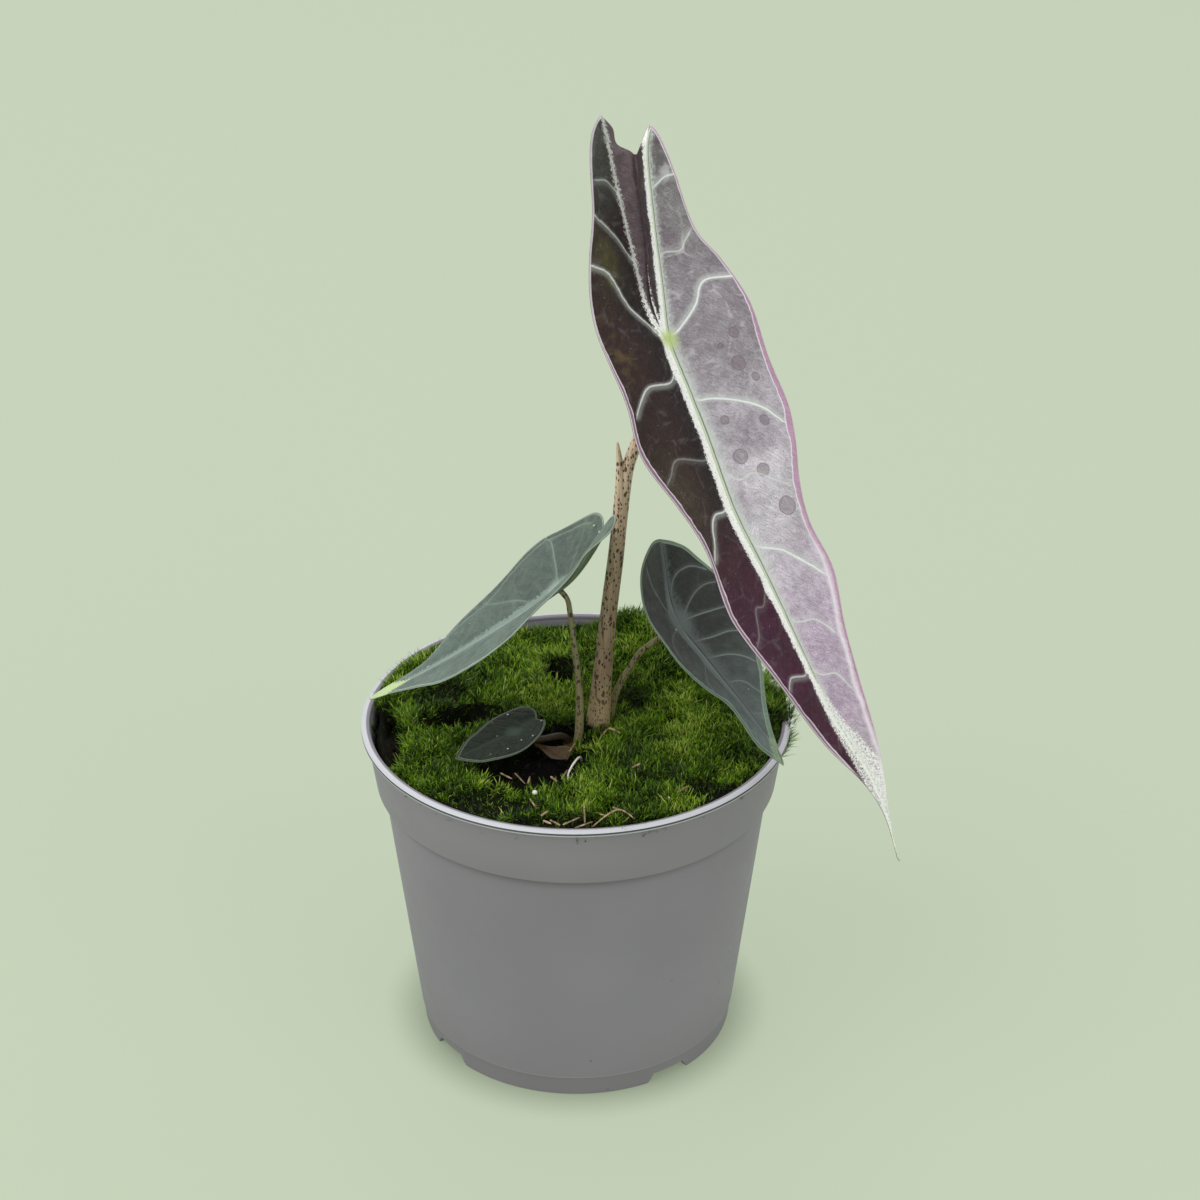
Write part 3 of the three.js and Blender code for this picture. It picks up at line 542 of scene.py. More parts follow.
def rule_laterals(leaf, side):
    """The small leaf's side veins, which leave the midrib, run out and curve towards the tip."""
    spine = spline(leaf["spine"], np.linspace(0, len(leaf["spine"]) - 1, 400))
    edge = leaf["left"] if side < 0 else leaf["right"]
    margin = spline(edge, np.linspace(0, len(edge) - 1, 400))
    found = []
    for at in (-4, 0.3, 5, 10):
        root = spine[np.argmin(np.abs(spine[:, 0] - at))]
        ahead = root[0] + 0.55 * abs(np.interp(root[0], margin[:, 0], margin[:, 1]) - root[1])
        end = margin[np.argmin(np.abs(margin[:, 0] - ahead))]
        end = root + (end - root) * 0.9
        middle = root + (end - root) * 0.5 - np.array([0.15 * abs(end[1] - root[1]), 0])
        found.append([tuple(root), tuple(middle), tuple(end)])
    return found


for leaf in LEAVES.values():
    if "strips" not in leaf:
        leaf["ribs"] = [leaf["spine"]]
        leaf["strips"] = two_strips(leaf)
LEAVES["small"]["laterals"] = rule_laterals(LEAVES["small"], -1) + rule_laterals(LEAVES["small"], 1)


class Blade:
    """A fine closed blade with the numbers its material needs at every vertex."""

    def __init__(self, leaf):
        self.leaf = leaf
        flats, heights, sides, faces = [], [], [], []
        offset = 0
        for strip in leaf["strips"]:
            rows, columns = strip.rows, strip.columns
            vein = even_points(strip.vein, 0, len(strip.vein) - 1, rows)
            margin = even_points(strip.margin, strip.start, strip.end, rows)
            share = np.linspace(0, 1, columns + 1)
            flat = vein[:, None] + (margin - vein)[:, None] * share[None, :, None]
            width = np.repeat(np.linalg.norm(margin - vein, axis=1)[:, None], columns + 1, 1).ravel()
            flat = flat.reshape(-1, 2)
            share = np.tile(share, rows + 1)
            flats.append(flat)
            heights.append(strip_height(leaf, strip, flat, share, width))
            sides.append(np.full(len(flat), strip.side))
            i, j = np.meshgrid(np.arange(rows), np.arange(columns), indexing="ij")
            a = (i * (columns + 1) + j).ravel() + offset
            b, c, d = a + 1, a + columns + 1, a + columns + 2
            pair = np.concatenate([np.stack([a, b, d], 1), np.stack([a, d, c], 1)])
            faces.append(pair[:, [0, 2, 1]] if strip.flip else pair)
            offset += len(flat)
        flat = np.concatenate(flats)
        # Points that two strips share become one; the shift keeps them off the rounding's halves
        key = np.round(flat + 0.0013, 2)
        _, first, inverse = np.unique(key, axis=0, return_index=True, return_inverse=True)
        inverse = inverse.ravel()
        faces = inverse[np.concatenate(faces)]
        keep = (faces[:, 0] != faces[:, 1]) & (faces[:, 1] != faces[:, 2]) & (faces[:, 2] != faces[:, 0])
        self.faces = faces[keep]
        self.flat = flat[first]
        self.height = np.concatenate(heights)[first]
        self.side = np.concatenate(sides)[first]
        ribs = [even_points(line, 0, len(line) - 1, 60) for line in leaf["ribs"]]
        laterals = [even_points(line, 0, len(line) - 1, 24) for line in leaf.get("laterals", [])]
        self.to_rib = line_distance(self.flat, ribs)
        forces = leaf.get("forces", [0.35] * len(laterals))
        self.vein, self.to_vein, self.force = signed_distance(self.flat, laterals, forces)
        self.net = cell_edges(self.flat, leaf.get("cell", 5.5), 5)
        self.rim = self.boundary()
        self.to_rim = line_distance(self.flat, [self.flat[[a, b]] for a, b in self.rim])

    def boundary(self):
        """Edges that only one triangle has."""
        f = self.faces.astype(np.int64)
        edges = np.concatenate([f[:, [0, 1]], f[:, [1, 2]], f[:, [2, 0]]])
        size = len(self.flat)
        forward = edges[:, 0] * size + edges[:, 1]
        backward = edges[:, 1] * size + edges[:, 0]
        return edges[~np.isin(forward, backward)]

    def piece(self, name, relief, color):
        """The closed mesh; relief lifts the upper face, color is asked for both faces."""
        leaf = self.leaf
        a = self.flat[:, 0]
        edge = mix(0.4, 1.0, smooth(0, 1.1, self.to_rim))
        half = leaf["thickness"] / 2 * edge
        keel_fade = (1 - smooth(0.25, 1, np.abs(a) / leaf["reach"])) * smooth(-14, -1, a)
        keel = leaf["keel"] * keel_fade * bell(self.to_rib, 0.9)
        self.normal = leaf_axes(leaf)[2]
        upper = on_leaf(leaf, self.flat, self.height + half + relief)
        lower = on_leaf(leaf, self.flat, self.height - half - keel + relief * 0.6)
        self.top = upper
        total = len(self.flat)
        rim = self.rim
        walls = np.concatenate([
            np.stack([rim[:, 0], rim[:, 0] + total, rim[:, 1] + total], 1),
            np.stack([rim[:, 0], rim[:, 1] + total, rim[:, 1]], 1)])
        faces = np.concatenate([self.faces, self.faces[:, [0, 2, 1]] + total, walls])
        made = mesh_object(name, np.concatenate([upper, lower]), faces)
        across = np.where(self.side == 2, -1, np.sign(self.side)) * self.to_rib
        if "spots" in leaf:
            lobe = np.where(self.side < 0, 5.5, 1.6)
            narrow = mix(1, lobe, smooth(3, -12, a)) * mix(1, 2.2, smooth(56, 120, a))
        else:
            narrow = mix(1, 2.6, smooth(0.2, 0.95, a / a.max())) * mix(1, 2.2, smooth(-2, -14, a))
        numbers = {
            "rib": across * narrow, "vein": self.vein, "vein_near": self.to_vein, "force": self.force,
            "narrow": narrow, "gain": mix(1, 0.5, smooth(-5, -18, a) * (self.side < 0)), "net": self.net,
            "rim": self.to_rim, "band": band_width(self), "spot": spot_distance(self),
        }
        for key, values in numbers.items():
            set_number(made, key, np.concatenate([values, values]))
        set_number(made, "upper", np.repeat([1.0, 0.0], total))
        set_color(made, "tone", np.concatenate([color(True), color(False)]))
        set_uv(made, "flat", np.concatenate([self.flat, self.flat]) / 100)
        low, high = self.flat.min(0), self.flat.max(0)
        unit = (self.flat - low) / (high - low) * [0.98, 0.48] + 0.01
        set_uv(made, "OFBake", np.concatenate([unit, unit + [0, 0.5]]))
        return made


def band_width(blade):
    """The coloured band along the margin, in millimetres; none at the seam of the rear lobes."""
    a = blade.flat[:, 0]
    left, right = blade.leaf.get("bands", (0.7, 0.7))
    wide = np.where(blade.side > 0, right, left) * (np.abs(blade.side) < 1.5)
    wide = wide * smooth(2, 7, np.hypot(*blade.flat.T))
    if "spots" in blade.leaf:
        wide = wide * mix(0.25, 0.78, smooth(-14, 16, a)) * (1 - smooth(106, 130, a))
    else:
        wide = wide * mix(0.5, 1, smooth(0.1, 0.7, a / a.max()))
    return wide


def spot_distance(blade):
    """Distance to the nearest round spot, negative inside it."""
    spots = blade.leaf.get("spots", ())
    gaps = [np.hypot(blade.flat[:, 0] - x, blade.flat[:, 1] - y) - r for x, y, r in spots]
    return np.minimum.reduce(gaps) if gaps else np.full(len(blade.flat), 60.0)


def main_color(blade, upper):
    """Tones of the main blade: grey-mauve at the right, lightened by painted sheen, dark plum at the left,
    darkened by painted shade, dull mauve below.
    """
    a, b = blade.flat.T
    side = blade.side
    wide = value_noise(a, b, 9, 3) * 0.5 + value_noise(a, b, 3.5, 4) * 0.3
    if not upper:
        return linear(112, 66, 92)[None] * (1 + 0.25 * wide[:, None])
    layer = lambda base, color, share: base + (linear(*color) - base) * share[:, None]
    ones = np.ones((len(a), 3))
    # Right half: grey-mauve lightened by painted sheen, darker on its rear lobe.
    right = layer(ones * linear(150, 143, 150), (200, 194, 202), smooth(2, 50, a))
    right = layer(right, (190, 172, 192), smooth(52, 90, a))
    right = layer(right, (132, 127, 130), smooth(4, -30, a))
    right = layer(right, (104, 101, 98), smooth(-30, -50, a))
    # Left half: dark plum, darkened as painted shade.
    left = layer(ones * linear(44, 23, 19), (68, 22, 50), smooth(40, 86, a))
    left = layer(left, (20, 9, 12), bell(blade.to_rib - 5, 5) * (1 - smooth(30, 70, a)) * 0.85)
    left = layer(left, (60, 12, 38), bell(blade.to_rib - 4.5, 5) * smooth(40, 70, a) * 0.8)
    # Painted sheen and glints: a pale patch and yellow-olive highlights near the left margin.
    left = layer(left, (72, 62, 48), bell(np.hypot((a - 40) / 1.7, b + 22), 7) * 0.6)
    glint = smooth(-0.3, 0.6, value_noise(a, b, 1.6, 31))
    left = layer(left, (112, 94, 44), bell(np.hypot((a + 2) / 2.2, b + 21.5), 4) * glint * 0.34)
    left = layer(left, (96, 100, 40), bell(np.hypot((a + 24) / 2, b + 12), 4) * mix(0.5, 1, glint) * 0.45)
    left = layer(left, (62, 64, 56), smooth(-30, -48, a) * 0.85)
    # Strips by the lobes' seam: the left one paler as painted sheen, the right one darker as painted shade.
    inner_left = ones * linear(92, 78, 82)
    inner_right = ones * linear(56, 44, 46)
    base = np.where((side == 1)[:, None], right, left)
    base = np.where((side == -2)[:, None], inner_left, base)
    base = np.where((side == 2)[:, None], inner_right, base)
    base = base * (1 + 0.3 * wide[:, None])
    base = layer(base, (102, 66, 96), 0.3 * smooth(0.2, 0.9, value_noise(a, b, 14, 8)) * (side == 1))
    brown = smooth(139, 143, a) * (1 - smooth(146.5, 148, a))
    base = layer(base, (176, 160, 174), 0.85 * np.where(side > 0, smooth(98, 118, a), smooth(120, 130, a)))
    return layer(base, (112, 104, 74), 0.85 * brown)


def green_color(near, far, end, reach):
    """Upper tones of a green blade's two halves, one paler as painted sheen and one darker as painted shade,
    and its end, with a pale underside.
    """
    def color(blade, upper):
        a, b = blade.flat.T
        wide = value_noise(a, b, 6, 13) * 0.5 + value_noise(a, b, 2.4, 14) * 0.3
        # The halves differ in tone as painted light and shade.
        base = np.where((blade.side > 0)[:, None], linear(*near), linear(*far))
        base = mix(base, linear(*end)[None], smooth(0, reach, a)[:, None])
        if not upper:
            base = linear(112, 128, 104)[None] + 0 * base
        return base * (1 + 0.22 * wide[:, None])
    return color


PLAIN_LEAF = {
    "tip_rise": 2.0, "dull": 0, "edge_frost": 0, "net_left": 1.0,
}
PALETTES = {
    "mauve_leaf": {
        "core": (206, 220, 188), "powder": (255, 255, 252), "powder_left": 3.0, "powder_right": 2.3,
        "core_width": 0.42, "crease": (84, 96, 78), "vein": (246, 248, 246), "halo": (212, 218, 212),
        "vein_width": 0.2, "halo_width": 2.4, "net": (206, 202, 208), "net_share": 0.6, "net_left": 0.12,
        "band": (192, 150, 178), "band_share": 0.9, "band_line": (240, 232, 240), "speck": 0.4,
        "tip": (248, 250, 244), "tip_start": 0.8, "tip_end": 1.34, "tip_share": 1.0, "tip_most": 0.5,
        "junction": (196, 216, 132), "junction_size": 0.04, "dark_veins": 0.62, "back": (142, 136, 104),
        "dull": 0.16, "edge_frost": 0.8, "grain": 0.3, "spot": (116, 98, 110), "shine": 0.35,
        "rough": 0.44, "streak": 0.5,
    },
    "green_leaf_left": {
        "core": (168, 186, 174), "powder": (142, 160, 150), "powder_left": 2.4, "powder_right": 1.4,
        "core_width": 0.3, "crease": (76, 94, 82), "vein": (144, 162, 150), "halo": (124, 142, 130),
        "vein_width": 0.16, "halo_width": 1.5, "net": (126, 142, 130), "net_share": 0.3,
        # This blade's pale band line is a painted highlight along its margin.
        "band": (104, 120, 106), "band_share": 0.5, "band_line": (172, 188, 174), "speck": 0.12,
        "tip": (206, 228, 168), "tip_start": 0.44, "tip_end": 0.6, "tip_share": 0.95, "tip_most": 1.0,
        "tip_rise": 1.4,
        "junction": (168, 186, 174), "junction_size": 0.05, "dark_veins": 0.75, "back": (150, 166, 138),
        "grain": 0.12, "spot": (70, 84, 74), "shine": 0.4, "rough": 0.42, "streak": 0.25,
    },
    "green_leaf_right": {
        "core": (134, 146, 142), "powder": (118, 130, 128), "powder_left": 2.6, "powder_right": 2.6,
        "core_width": 0.28, "crease": (58, 66, 64), "vein": (140, 152, 148), "halo": (104, 114, 112),
        "vein_width": 0.16, "halo_width": 1.4, "net": (88, 98, 95), "net_share": 0.3,
        "band": (132, 156, 134), "band_share": 0.8, "band_line": (150, 172, 150), "speck": 0.1,
        "tip": (158, 182, 146), "tip_start": 0.36, "tip_end": 0.47, "tip_share": 0.85, "tip_most": 0.6,
        "junction": (112, 124, 121), "junction_size": 0.06, "dark_veins": 0.85, "back": (120, 134, 116),
        "grain": 0.14, "spot": (60, 66, 64), "shine": 0.35, "rough": 0.44, "streak": 0.25,
    },
    "dark_leaf": {
        "core": (54, 70, 54), "powder": (46, 60, 46), "powder_left": 0.9, "powder_right": 0.9,
        "core_width": 0.2, "crease": (26, 36, 26), "vein": (48, 62, 46), "halo": (40, 53, 39),
        "vein_width": 0.12, "halo_width": 0.8, "net": (44, 56, 42), "net_share": 0.25,
        "band": (78, 88, 74), "band_share": 0.6, "band_line": (112, 120, 104), "speck": 0,
        "tip": (58, 74, 50), "tip_start": 0.16, "tip_end": 0.19, "tip_share": 0.5, "tip_most": 0.5,
        "junction": (66, 82, 68), "junction_size": 0.035, "dark_veins": 0.9, "back": (60, 74, 54),
        "grain": 0.12, "spot": (30, 40, 30), "shine": 0.22, "rough": 0.5, "streak": 0.15,
    },
}


def leaf_inputs(look):
    """The wires that the layers of a leaf share; the flat UV map counts in units of 100 mm."""
    at = SimpleNamespace(flat=look.uv("flat"), tone=look.attribute("tone", "Color"))
    for key in ("rib", "vein", "vein_near", "force", "narrow", "gain", "net", "rim", "band", "spot", "upper"):
        setattr(at, key, look.attribute(key))
    at.fuzz = look.noise(at.flat, 130.0, 6.0, 0.75)
    at.fine = look.noise(at.flat, 330.0, 4.0, 0.7)
    at.broad = look.noise(at.flat, 38.0, 3.0)
    at.ragged = (at.fuzz - 0.5) * 3.2
    at.along = look.axis(at.flat, 0)
    across = look.axis(at.flat, 1)
    wander = look.noise(at.flat, 30.0, 2.0)
    run = at.along + abs(across) * -1.1 + wander * 0.05
    at.comb = look.node("ShaderNodeCombineXYZ", {0: run * 260.0, 1: across * 52.0, 2: wander * 4.0})
    at.hairs = look.noise(at.comb, 1.0, 3.0, 0.65, 0.6)
    # halves gives one number left of the midrib and another right of it; the main blade's layers use it to
    # dim marks in its left half's painted shade.
    at.halves = lambda left, right: look.span(at.rib, -0.5, 0.5, left, right)
    return at


def field_layer(look, at, hue):
    """The blade's own tones with grain, and hairs combed towards the margin."""
    color = look.shade(at.tone, look.span(at.fine, 0.3, 0.7, 1 - hue["grain"], 1 + hue["grain"]))
    color = look.shade(color, look.span(at.broad, 0.3, 0.7, 0.88, 1.12))
    streak = hue["streak"]
    return look.shade(color, look.span(at.hairs, 0.34, 0.68, 1 - 0.4 * streak, 1 + 0.55 * streak))


def net_layer(look, at, hue, color):
    """The fine net between the side veins, and the dark round spots."""
    lines = look.span(at.net + at.ragged * 0.12, 0.02, 0.42, 1.0, 0.0)
    lines = lines * look.span(look.noise(at.flat, 21.0, 2.0), 0.42, 0.6)
    small = look.span(look.cells(at.flat, 62.0, "DISTANCE_TO_EDGE"), 0.01, 0.07, 1.0, 0.0)
    small = small * 0.35 * look.span(at.broad, 0.4, 0.62)
    lines = look.math("MAXIMUM", lines, small) * hue["net_share"] * look.span(abs(at.rib), 1.0, 3.0)
    color = look.blend(lines * at.halves(hue["net_left"], 1.0), color, rgba(*hue["net"]))
    ring = look.span(abs(at.spot + at.ragged * 0.1), 0.0, 0.4, 0.75, 0.0)
    inside = look.span(at.spot, -0.3, 0.1, 0.5, 0.0)
    return look.blend(look.math("MAXIMUM", ring, inside), color, rgba(*hue["spot"]))


def vein_layer(look, at, hue, color):
    """Crisp side veins, each with a halo that is wider on one side."""
    dim = at.halves(hue["dark_veins"], 1.0)
    beside = look.math("MAXIMUM", at.vein, at.vein * -2.2) + at.ragged * 0.55
    halo = look.span(beside, 0.1, hue["halo_width"], 0.62, 0.0) * look.span(at.vein_near, 0.8, 2.6, 1.0, 0.0)
    color = look.blend(halo * dim * at.force, color, rgba(*hue["halo"]))
    width = hue["vein_width"]
    crisp = look.span(abs(at.vein) + at.ragged * 0.05, width * 0.6, width * 1.7, 0.95, 0.0)
    crisp = crisp * look.span(at.vein_near, 0.7, 1.2, 1.0, 0.0) * look.math("POWER", dim, 0.4) * at.force
    return look.blend(crisp, color, rgba(*hue["vein"]))


def midrib_layer(look, at, hue, color):
    """Powder that dissolves at its edges, the green core, a painted shadow along the core's right side and
    the pale junction.
    """
    dusted = at.rib + ((at.fine - 0.5) * 3.0 + (at.fuzz - 0.5) * 5.0) * at.narrow
    beyond = look.span(dusted, 0.8, hue["powder_right"] + 1.6, 0.9, 0.0) * look.span(at.rib, 0.2, 0.7)
    color = look.blend(beyond, color, rgba(*hue["halo"]))
    reach = hue["powder_left"]
    powder = look.span(dusted, -reach - 0.15, 0.15 - reach) * look.span(at.rib, -0.2, 0.5, 1.0, 0.0)
    powder = powder * look.span(at.fuzz, 0.36, 0.45, 0.4, 1.0) * at.gain
    color = look.blend(powder, color, rgba(*hue["powder"]))
    width = hue["core_width"]
    core = look.span(abs(at.rib - width * 0.3), width * 0.75, width * 1.15, 1.0, 0.0)
    color = look.blend(core * at.gain, color, rgba(*hue["core"]))
    # Painted shadow: a dark line along the raised core's right side.
    crease = look.span(abs(at.rib - width * 1.7), 0.05, 0.3, 0.85, 0.0)
    color = look.blend(crease, color, rgba(*hue["crease"]))
    junction = look.length(at.flat) + at.ragged * 0.004
    size = hue["junction_size"]
    return look.blend(look.span(junction, size * 0.25, size, 0.8, 0.0), color, rgba(*hue["junction"]))


def margin_layer(look, at, hue, color):
    """The coloured band, the pale line along it, frost on that line near the tip and a thin outer line."""
    line = rgba(*hue["band_line"])
    banded = look.span(at.band, 0.1, 0.4)
    past = at.rim - at.band
    ticks = look.noise(look.stretch(at.comb, (2.2, 0.4, 1.0)), 1.0, 2.0)
    ticks = look.span(ticks, 0.35, 0.65, 0.8, 1.2) * at.halves(0.55, 1.0)
    share = look.span(past, -0.15, 0.1, 1.0, 0.0) * banded * hue["band_share"]
    color = look.blend(share, color, look.shade(rgba(*hue["band"]), ticks))
    edge = look.span(abs(past), 0.06, 0.26, 0.9, 0.0) * banded * at.halves(0.85, 1.0)
    color = look.blend(edge, color, line)
    frosty = look.span(abs(past) + at.ragged * 0.5, 0.1, 1.3, hue["edge_frost"], 0.0)
    frosty = frosty * look.span(at.along, 0.45, 0.8) * look.span(at.rib, 0.0, 1.0)
    color = look.blend(frosty, color, line)
    return look.blend(look.span(at.rim, 0.05, 0.3, 0.7, 0.0) * banded, color, line)


def tip_layer(look, at, hue, color):
    """Pale specks, and frost that thickens towards the tip but spares its brown end."""
    dots = look.span(look.cells(at.flat, 70.0), 0.05, 0.12, 1.0, 0.0) * hue["speck"]
    color = look.blend(dots * look.span(at.broad, 0.5, 0.6), color, rgba(214, 216, 210))
    start = hue["tip_start"]
    frost = look.span(at.along, start, hue["tip_end"], 0.0, hue["tip_rise"]) - abs(at.rib) * 0.16
    frost = look.math("MINIMUM", frost, hue["tip_most"])
    frost = look.span(at.fine * 0.5 + at.fuzz * 0.5 + frost * 0.3, 0.6, 0.66, 0.0, hue["tip_share"])
    frost = frost * look.span(at.along, start, start + 0.05) * look.span(at.along, 1.39, 1.43, 1.0, 0.0)
    return look.blend(frost, color, rgba(*hue["tip"]))


def leaf_look(name):
    """Layers on the upper side, and the duller underside with its raised veins."""
    hue = {**PLAIN_LEAF, **PALETTES[name]}
    look = Look(name, Specular_IOR_Level=hue["shine"])
    at = leaf_inputs(look)
    color = field_layer(look, at, hue)
    for layer in (net_layer, vein_layer, midrib_layer, margin_layer, tip_layer):
        color = layer(look, at, hue, color)
    back = look.shade(at.tone, look.span(at.fuzz, 0.3, 0.7, 0.85, 1.15))
    back_vein = look.math("MINIMUM", abs(at.rib), at.vein_near + 0.3)
    back = look.blend(look.span(back_vein, 0.4, 1.3, 0.8, 0.0), back, rgba(*hue["back"]))
    look.set("Base Color", look.blend(look.span(at.upper, 0.45, 0.55), back, color))
    rough = look.span(at.fuzz, 0.3, 0.7, hue["rough"] - 0.08, hue["rough"] + 0.14)
    look.set("Roughness", rough + at.halves(hue["dull"], 0.0))
    height = at.hairs * 0.9 + at.fuzz * 0.7 + look.noise(at.flat, 60.0, 4.0, 0.6, 0.5) * 1.6
    look.bump(height, 0.7, 0.00035)
    return look.material


def blade_relief(blade, rib, side_vein, puff, puff_width, crinkle):
    """Raised veins, puffed fields between them and fine wrinkles."""
    inner = smooth(0, 1.2, blade.to_rim)
    rise = rib * bell(blade.to_rib, 0.8) - 0.5 * rib * bell(blade.to_rib - 1.9, 0.7)
    rise += side_vein * bell(blade.to_vein, 0.4)
    near = np.minimum(blade.to_rib, blade.to_vein)
    pillow = puff * (smooth(0, puff_width, near) - 1) * smooth(0, 3, blade.to_rim)
    folds = crinkle * (bell(blade.net, 0.45) - 0.5 * smooth(0, 2.2, blade.net))
    ripple = 0.06 * value_noise(*blade.flat.T, 1.4, 21) + 0.2 * value_noise(*blade.flat.T, 5, 22)
    a, b = blade.flat.T
    ripple += 0.1 * value_noise(a - 1.2 * np.abs(b), 0.25 * b, 1.1, 23)
    band = band_width(blade)
    rolled = -0.12 * bell(blade.to_rim - band, 0.35) * (band > 0.3)
    return (rise + pillow + (folds + ripple) * smooth(0.3, 1.6, blade.to_rib)) * inner + rolled


# Leaf, piece, material, slot, tones, and blade_relief's numbers
BLADES = [
    ("main", "leaf_main", "mauve_leaf", "blade_mauve", main_color, (0.35, 0.12, 0.5, 6, 0.14)),
    ("left", "leaf_left", "green_leaf_left", "blade_green",
     green_color((104, 120, 110), (82, 97, 87), (100, 118, 108), 50), (0.18, 0.07, 0.3, 4, 0.06)),
    ("right", "leaf_right", "green_leaf_right", "blade_green",
     green_color((52, 56, 52), (68, 71, 68), (108, 121, 118), 44), (0.18, 0.07, 0.3, 4, 0.08)),
    ("small", "leaf_small", "dark_leaf", "blade_dark",
     green_color((25, 38, 24), (24, 36, 23), (25, 38, 24), 18), (0.12, 0.05, 0.12, 2, 0.03)),
]
BUILT = {}
for key, piece_name, finish, slot, color, carve in BLADES:
    blade = Blade(LEAVES[key])
    BUILT[key] = blade
    made = blade.piece(piece_name, blade_relief(blade, *carve), lambda up: color(blade, up))
    place(made, leaf_look(finish), slot, "blade_" + key)


# Drops of water, and the dry scale leaf


def ball(centre, axis, radius, squash, seed):
    """A slightly uneven round grain or drop, flattened along its axis."""
    random = np.random.default_rng(seed)
    rings, sides = 8, 14
    polar = np.linspace(0, math.pi, rings + 1)[1:-1]
    polar, turn = np.meshgrid(polar, np.arange(sides) / sides * TAU, indexing="ij")
    unit = np.stack([np.sin(polar) * np.cos(turn), np.sin(polar) * np.sin(turn), np.cos(polar)], -1)
    unit = np.concatenate([unit.reshape(-1, 3), [[0, 0, 1], [0, 0, -1]]])
    unit *= radius * (1 + 0.06 * np.sin(6 * unit[:, :1] + random.uniform(0, 6)))
    axis = np.asarray(axis, float) / np.linalg.norm(axis)
    side = np.cross(axis, [0.3, 0.9, 0.2])
    side /= np.linalg.norm(side)
    points = np.asarray(centre) + unit[:, :1] * side + unit[:, 1:2] * np.cross(axis, side)
    return points + unit[:, 2:] * squash * axis, ring_faces(rings - 1, sides)[:, ::-1]


# Drops on each blade: [along, across, radius]
DROPS = {
    "left": [
        (-16, -9, 0.45), (40, -2.2, 0.3), (28, -4.5, 0.25), (43, 2.6, 0.35), (-17.5, -4.4, 0.5),
        (1.6, -23, 0.3),
    ],
    "right": [(1.5, -3.6, 0.3), (26, 5, 0.2)],
    "small": [
        (-2.6, -7.1, 0.34), (-8.8, 0.3, 0.24), (-2.7, 5.8, 0.3), (1, 5.5, 0.26), (6.2, 6.9, 0.28),
        (4.9, -1, 0.18), (2.9, -6.6, 0.15), (11.5, 6, 0.18),
    ],
    "main": [(33, 3.1, 0.28), (118, 2, 0.25), (60, 8, 0.2), (-30, 18, 0.25)],
}


def drop_look():
    look = Look("water_drop", Roughness=0.08, Specular_IOR_Level=0.8)
    shade = look.noise(look.place(), 900.0, 2.0)
    look.set("Base Color", look.blend(shade, rgba(140, 154, 142), rgba(196, 205, 198)))
    return look.material


drop_finish = drop_look()
for key, drops in DROPS.items():
    blade = BUILT[key]
    beads = []
    for number, (a, b, radius) in enumerate(drops):
        nearest = np.argmin(np.hypot(blade.flat[:, 0] - a, blade.flat[:, 1] - b))
        centre = blade.top[nearest] + blade.normal * radius * 0.15
        beads.append(ball(centre, blade.normal, radius, 0.6, 300 + number))
    slot = "blade_mauve" if key == "main" else "blade_green"
    place(mesh_object("drops_" + key, *join(beads)), drop_finish, slot)


def papery_look():
    look = Look("papery_scale", Specular_IOR_Level=0.3)
    flat = look.uv("flat")
    ribs = look.noise(look.stretch(flat, (60.0, 900.0, 1.0)), 1.0, 4.0)
    blotch = look.noise(flat, 120.0, 4.0)
    tone = look.ramp(ribs, [
        (0.3, linear(38, 27, 17)), (0.5, linear(80, 60, 38)), (0.72, linear(126, 98, 66))])
    tone = look.blend(look.span(blotch, 0.5, 0.66, 0.0, 0.7), tone, rgba(88, 84, 44))
    look.set("Base Color", tone)
    look.set("Roughness", look.span(ribs, 0.3, 0.7, 0.45, 0.65))
    look.bump(ribs, 0.6, 0.0002)
    return look.material


scale = Blade(LEAVES["scale"])
crumple = 0.25 * value_noise(*scale.flat.T, 2.2, 91) + 0.1 * value_noise(*scale.flat.T, 0.8, 92)
crumple *= smooth(0, 1, scale.to_rim)
scale_piece = scale.piece("dry_scale", crumple, lambda up: np.ones((len(scale.flat), 3)))
place(scale_piece, papery_look(), "dry_leaf", "scale_leaf_dry")


# Petioles


def tube(points, radii, sides, steps):
    """Points and faces of rings round a smooth curve."""
    points = np.asarray(points, float)
    t = np.linspace(0, len(points) - 1, 900)
    fine = spline(points, t)
    length = np.r_[0, np.cumsum(np.linalg.norm(np.diff(fine, axis=0), axis=1))]
    wanted = np.linspace(0, length[-1], steps + 1)
    centre = np.stack([np.interp(wanted, length, fine[:, k]) for k in range(3)], 1)
    radius = np.interp(np.interp(wanted, length, t), np.arange(len(points)), radii)
    tangent = np.gradient(centre, axis=0)
    tangent /= np.linalg.norm(tangent, axis=1)[:, None]
    side = np.cross(tangent[0], [0.3, -1, 0.1])
    rings = []
    turns = np.arange(sides) / sides * TAU
    for k in range(steps + 1):
        side = side - tangent[k] * (side @ tangent[k])
        side /= np.linalg.norm(side)
        other = np.cross(tangent[k], side)
        ring = np.cos(turns)[:, None] * side + np.sin(turns)[:, None] * other
        rings.append(centre[k] + ring * radius[k])
    return np.concatenate([*rings, centre[:1], centre[-1:]]), ring_faces(steps + 1, sides)


def under_junction(leaf, below):
    """The point that far below the middle of a blade's junction."""
    across = -0.5 if leaf is LEAVES["main"] else 0.0
    return on_leaf(leaf, np.array([[0.0, across]]), np.array([-below]))[0]


def petiole_top(leaf):
    """The end of a petiole, just inside the blade's keel."""
    return under_junction(leaf, leaf["thickness"] / 2 + leaf["keel"] - 0.1)


FOOT = 92.8
